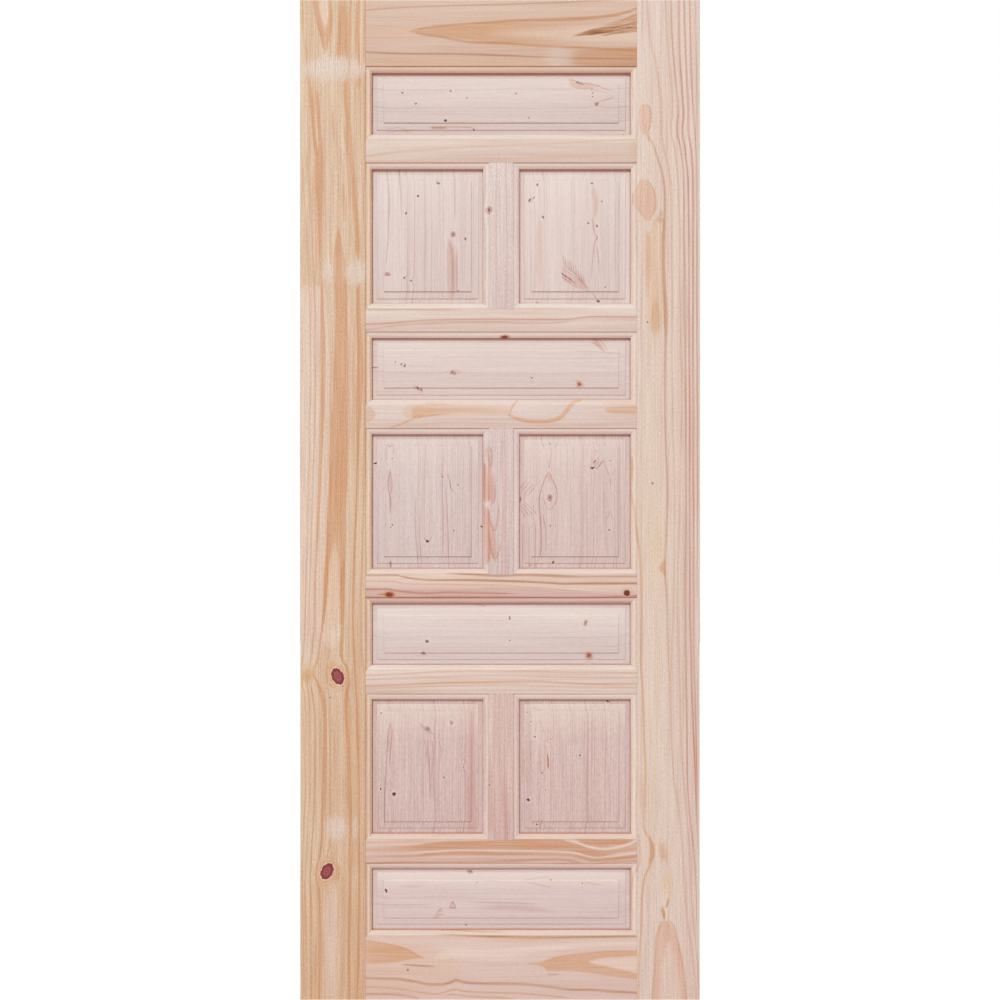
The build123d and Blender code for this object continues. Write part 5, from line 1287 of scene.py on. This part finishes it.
FIGURES["wide_panel_4"] = [
    Streak(THREAD, 0.6, 0.5, [(520, 880.6, 0), (530, 879.6, 0.4), (541, 877.6, 0.5), (547, 877, 0.5),
        (552, 880, 0)]),
    Streak(THREAD, 0.6, 0.5, [(522, 881.6, 0), (534, 883.6, 0.4), (546, 886, 0.5), (556, 886.6, 0)]),
    Streak(THREAD, 0.6, 0.5, [(584, 882, 0), (590, 882.6, 0.5), (598, 884.4, 0.4), (606, 884, 0)]),
    Streak("#c9a5a2", 0.5, 2.0, [(470, 908, 0), (500, 907, 3), (530, 909, 3), (560, 912, 0)]),
    Streak(THREAD, 0.6, 0.6, [(455, 901, 0), (490, 902.4, 0.6), (520, 903, 0.6), (546, 904, 0)]),
    Streak(THREAD, 0.5, 0.6, [(372, 904.8, 0.5), (420, 904.6, 0.5), (436, 904.4, 0)]),
    Streak(THREAD, 0.45, 0.6, [(398, 886.4, 0), (410, 886.4, 0.5), (426, 886.2, 0)]),
    Streak(THREAD, 0.45, 0.6, [(470, 880, 0), (490, 880.6, 0.5), (520, 881.6, 0)]),
    # feathered mark of a branch
    Streak(RED, 0.75, 0.4, [(437, 912, 0), (439, 909.8, 0.6), (441, 908.8, 0.7), (444, 908.6, 0)]),
    Streak(RED, 0.75, 0.4, [(435.4, 914.4, 0), (438, 912, 0.6), (441, 910.8, 0.7), (443.6, 911.4, 0)]),
    Streak(RED, 0.75, 0.4, [(434, 917.4, 0), (437, 915, 0.6), (441, 914.4, 0.6), (445, 915, 0)]),
    Streak(RED, 0.65, 0.4, [(432.6, 920.6, 0), (435, 917.6, 0.6), (438, 917, 0.6), (441.6, 919, 0)]),
    # cut knot
    Streak("#cfa39b", 0.7, 0.4, [(449.6, 907.6, 0), (450.6, 906.6, 1.0), (452.6, 904.6, 2.8),
        (454.4, 905, 2.4), (456, 907, 0.8), (457, 907.8, 0)]),
    Streak(DARK, 0.8, 0.4, [(449.4, 908, 0), (450.4, 906.4, 0.6), (452, 902.4, 0.7), (452.8, 901, 0.6),
        (454, 902.4, 0.6), (455.8, 906.6, 0.6), (456.6, 908, 0)]),
    Streak(DARK, 0.7, 0.4, [(449.6, 907.8, 0), (451, 907.8, 0.5), (455.6, 907.8, 0.5), (457, 907.8, 0)]),
    Knot("dark", 407.2, 868, 1.4, 1.4), Knot("faint", 470.4, 872.6, 4.4, 2.8),
    Knot("pin", 477.7, 882.4, 1.4, 0.8), Knot("dark", 386.4, 890.7, 1.5, 2.6),
    Knot("pin", 466.8, 925.4, 2.0, 0.8), Knot("pin", 551.1, 880.1, 1.2, 1.1),
    Knot("pin", 582.8, 883.1, 1.2, 1.2),
]


def face_of(node, kinds):
    """A board's flat face as left, right, bottom and top: its node's box less what its edges add to it."""
    low, high = (np.array(corner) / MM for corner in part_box(node))
    reach = {"moulded": STICKING, "coped": 0.0, "square": 0.0, "raised": TONGUE_LENGTH}
    return (
        low[0] + reach[kinds[0]], high[0] - reach[kinds[1]],
        low[2] + reach[kinds[2]], high[2] - reach[kinds[3]],
    )


# Earlywood of each board, which sets its general tone
EARLY = {
    "hinge_stile": "#dcc2a8", "latch_stile": "#dfcabd", "top_rail": "#d8bca9", "bottom_rail": "#dbc0b6",
    "cross_rail_1": "#ddc9be", "cross_rail_2": "#e2d0c6", "cross_rail_3": "#dfcbc2",
    "cross_rail_4": "#dec4ba", "cross_rail_5": "#e0cdc4", "cross_rail_6": "#dcc0b5",
    "muntin_1": "#dfcec8", "muntin_2": "#dac4bf", "muntin_3": "#d7bbb3",
    "wide_panel_1": "#dfcdc6", "wide_panel_2": "#dfcdc6",
    "wide_panel_3": "#decdc7", "wide_panel_4": "#dbc5c0",
    "left_panel_1": "#e2d1ca", "left_panel_2": "#dcc8c3", "left_panel_3": "#d6bcb6",
    "right_panel_1": "#e2d1ca", "right_panel_2": "#dbc5be", "right_panel_3": "#d8beb7",
}

# What boards of a kind have in common
HINGE_STILE = dict(upright=True, spacing=7.0, lines=0.5, late="#c58c62", streaky=0.4, grit=0.24)
LATCH_STILE = dict(upright=True, spacing=7.0, lines=0.4, late="#c4957f", streaky=0.25, grit=0.19)
RAIL = dict(upright=False, spacing=6.0, lines=0.36, late="#c4927a", streaky=0.3, grit=0.1)
MUNTIN = dict(upright=True, spacing=5.0, lines=0.4, late="#c0958a", streaky=0.2, grit=0.25)
WIDE = dict(upright=False, spacing=6.0, lines=0.33, late="#bf978f", streaky=0.15, grit=0.075, stave=58.0)
PAIR = dict(upright=True, spacing=6.5, late="#bf968e", streaky=0.15, stave=52.0)

# Each board's node, its edges at left, right, bottom and top, its corner in the picture, wood and profile
framing = framing_profile()
panelling = panel_profile()
boards = [
    ("hinge_stile", ("square", "moulded", "square", "square"), (STILE_LEFT, 0), HINGE_STILE, framing),
    ("latch_stile", ("moulded", "square", "square", "square"), (STILE_RIGHT, 0), LATCH_STILE, framing),
    ("top_rail", ("coped", "coped", "moulded", "square"), (RAIL_LEFT, 0), RAIL, framing),
    ("bottom_rail", ("coped", "coped", "square", "moulded"), (RAIL_LEFT, FOOT_TOP), RAIL, framing),
]
for number, rail_top in enumerate(RAIL_TOPS, start=1):
    rail_kinds = ("coped", "coped", "moulded", "moulded")
    boards.append((f"cross_rail_{number}", rail_kinds, (RAIL_LEFT, rail_top), RAIL, framing))
# Each pair of panels is coarser than the pair above it, and a lower panel has a stronger painted highlight on
# its upper bevel
for number, row_top in enumerate(ROW_TOPS[1::2], start=1):
    muntin_kinds = ("moulded", "moulded", "coped", "coped")
    boards.append((f"muntin_{number}", muntin_kinds, (MUNTIN_LEFT, row_top), MUNTIN, framing))
    wood = PAIR | dict(grit=0.04 + 0.05 * number, lines=0.36 + 0.12 * number, bevel=0.16 * number)
    for side, side_left in (("left", RAIL_LEFT), ("right", MUNTIN_RIGHT)):
        corner = (side_left + SIGHT, row_top + SIGHT)
        boards.append((f"{side}_panel_{number}", ("raised",) * 4, corner, wood, panelling))
for number, row_top in enumerate(ROW_TOPS[0::2], start=1):
    # a lower wide panel has a stronger painted highlight on its upper bevel
    wood = WIDE | dict(bevel=0.12 * number)
    corner = (RAIL_LEFT + SIGHT, row_top + SIGHT)
    boards.append((f"wide_panel_{number}", ("raised",) * 4, corner, wood, panelling))

SEED_STEP = 7.3
for board_number, (node, kinds, corner, wood, profile) in enumerate(boards, start=1):
    face = face_of(node, kinds)
    material = pine(f"sanded pine {node}", face, corner=corner, early=EARLY[node],
                    seed=SEED_STEP * board_number, figure=FIGURES[node], **wood)
    carve(node, face, kinds, profile, material)

# Stage: a white floor, soft studio light from above, and a camera square on to the leaf. Sizes are metres.
FLOOR_HALF = 6.0
FLOOR_GLOW = 0.6
FILL_STRENGTH = 0.66
KEY_STRENGTH = 2.51
KEY_ANGLE = 16.0
KEY_ASIDE, KEY_AHEAD, KEY_ABOVE = 0.22, 0.85, 0.72
CAMERA_DISTANCE = 2.4
WHITE = "#ffffff"

door_low, door_high = (np.array(corner) for corner in cad_box)
middle = (door_low + door_high) / 2

floor_mesh = bpy.data.meshes.new("floor")
floor_corners = [
    (middle[0] + FLOOR_HALF * x, FLOOR_HALF * y, 0) for x, y in ((-1, -1), (1, -1), (1, 1), (-1, 1))
]
floor_mesh.from_pydata(floor_corners, [], [(0, 1, 2, 3)])
floor = bpy.data.objects.new("floor", floor_mesh)
bpy.context.scene.collection.objects.link(floor)
paper = bpy.data.materials.new("white paper floor")
paper.use_nodes = True
paper_sockets = paper.node_tree.nodes["Principled BSDF"].inputs
paper_sockets["Base Color"].default_value = linear("#f4f4f4")
paper_sockets["Emission Color"].default_value = linear(WHITE)
paper_sockets["Emission Strength"].default_value = FLOOR_GLOW
floor_mesh.materials.append(paper)
floor.visible_diffuse = False
floor.visible_glossy = False

world = bpy.data.worlds.new("studio")
bpy.context.scene.world = world
world.use_nodes = True
sky = world.node_tree
sky.nodes.clear()
ray = add(sky, "ShaderNodeLightPath", {})
fill = add(sky, "ShaderNodeBackground", {"Color": linear("#ffe2df"), "Strength": FILL_STRENGTH})
white = add(sky, "ShaderNodeBackground", {"Color": linear(WHITE), "Strength": 1.0})
seen = add(sky, "ShaderNodeMixShader",
           {0: ray.outputs["Is Camera Ray"], 1: fill.outputs[0], 2: white.outputs[0]})
add(sky, "ShaderNodeOutputWorld", {"Surface": seen.outputs[0]})

for name, way in (("soft key", -1), ("soft key on the back", 1)):
    sun = bpy.data.lights.new(name, "SUN")
    sun.energy = KEY_STRENGTH
    sun.color = linear("#d0f2f4")[:3]
    sun.angle = math.radians(KEY_ANGLE)
    sun_object = bpy.data.objects.new(name, sun)
    pitch = math.atan2(math.hypot(KEY_ASIDE, KEY_AHEAD), KEY_ABOVE)
    sun_object.rotation_euler = (pitch, 0, math.atan2(KEY_ASIDE * way, -KEY_AHEAD * way))
    bpy.context.scene.collection.objects.link(sun_object)

camera = bpy.data.cameras.new("camera")
camera.sensor_width = 36.0
camera.lens = camera.sensor_width * CAMERA_DISTANCE / (door_high[2] - door_low[2])
camera_object = bpy.data.objects.new("camera", camera)
camera_object.location = (middle[0], door_low[1] - CAMERA_DISTANCE, middle[2])
camera_object.rotation_euler = (math.radians(90), 0, 0)
bpy.context.scene.collection.objects.link(camera_object)
bpy.context.scene.camera = camera_object
bpy.context.scene.view_settings.view_transform = "Standard"
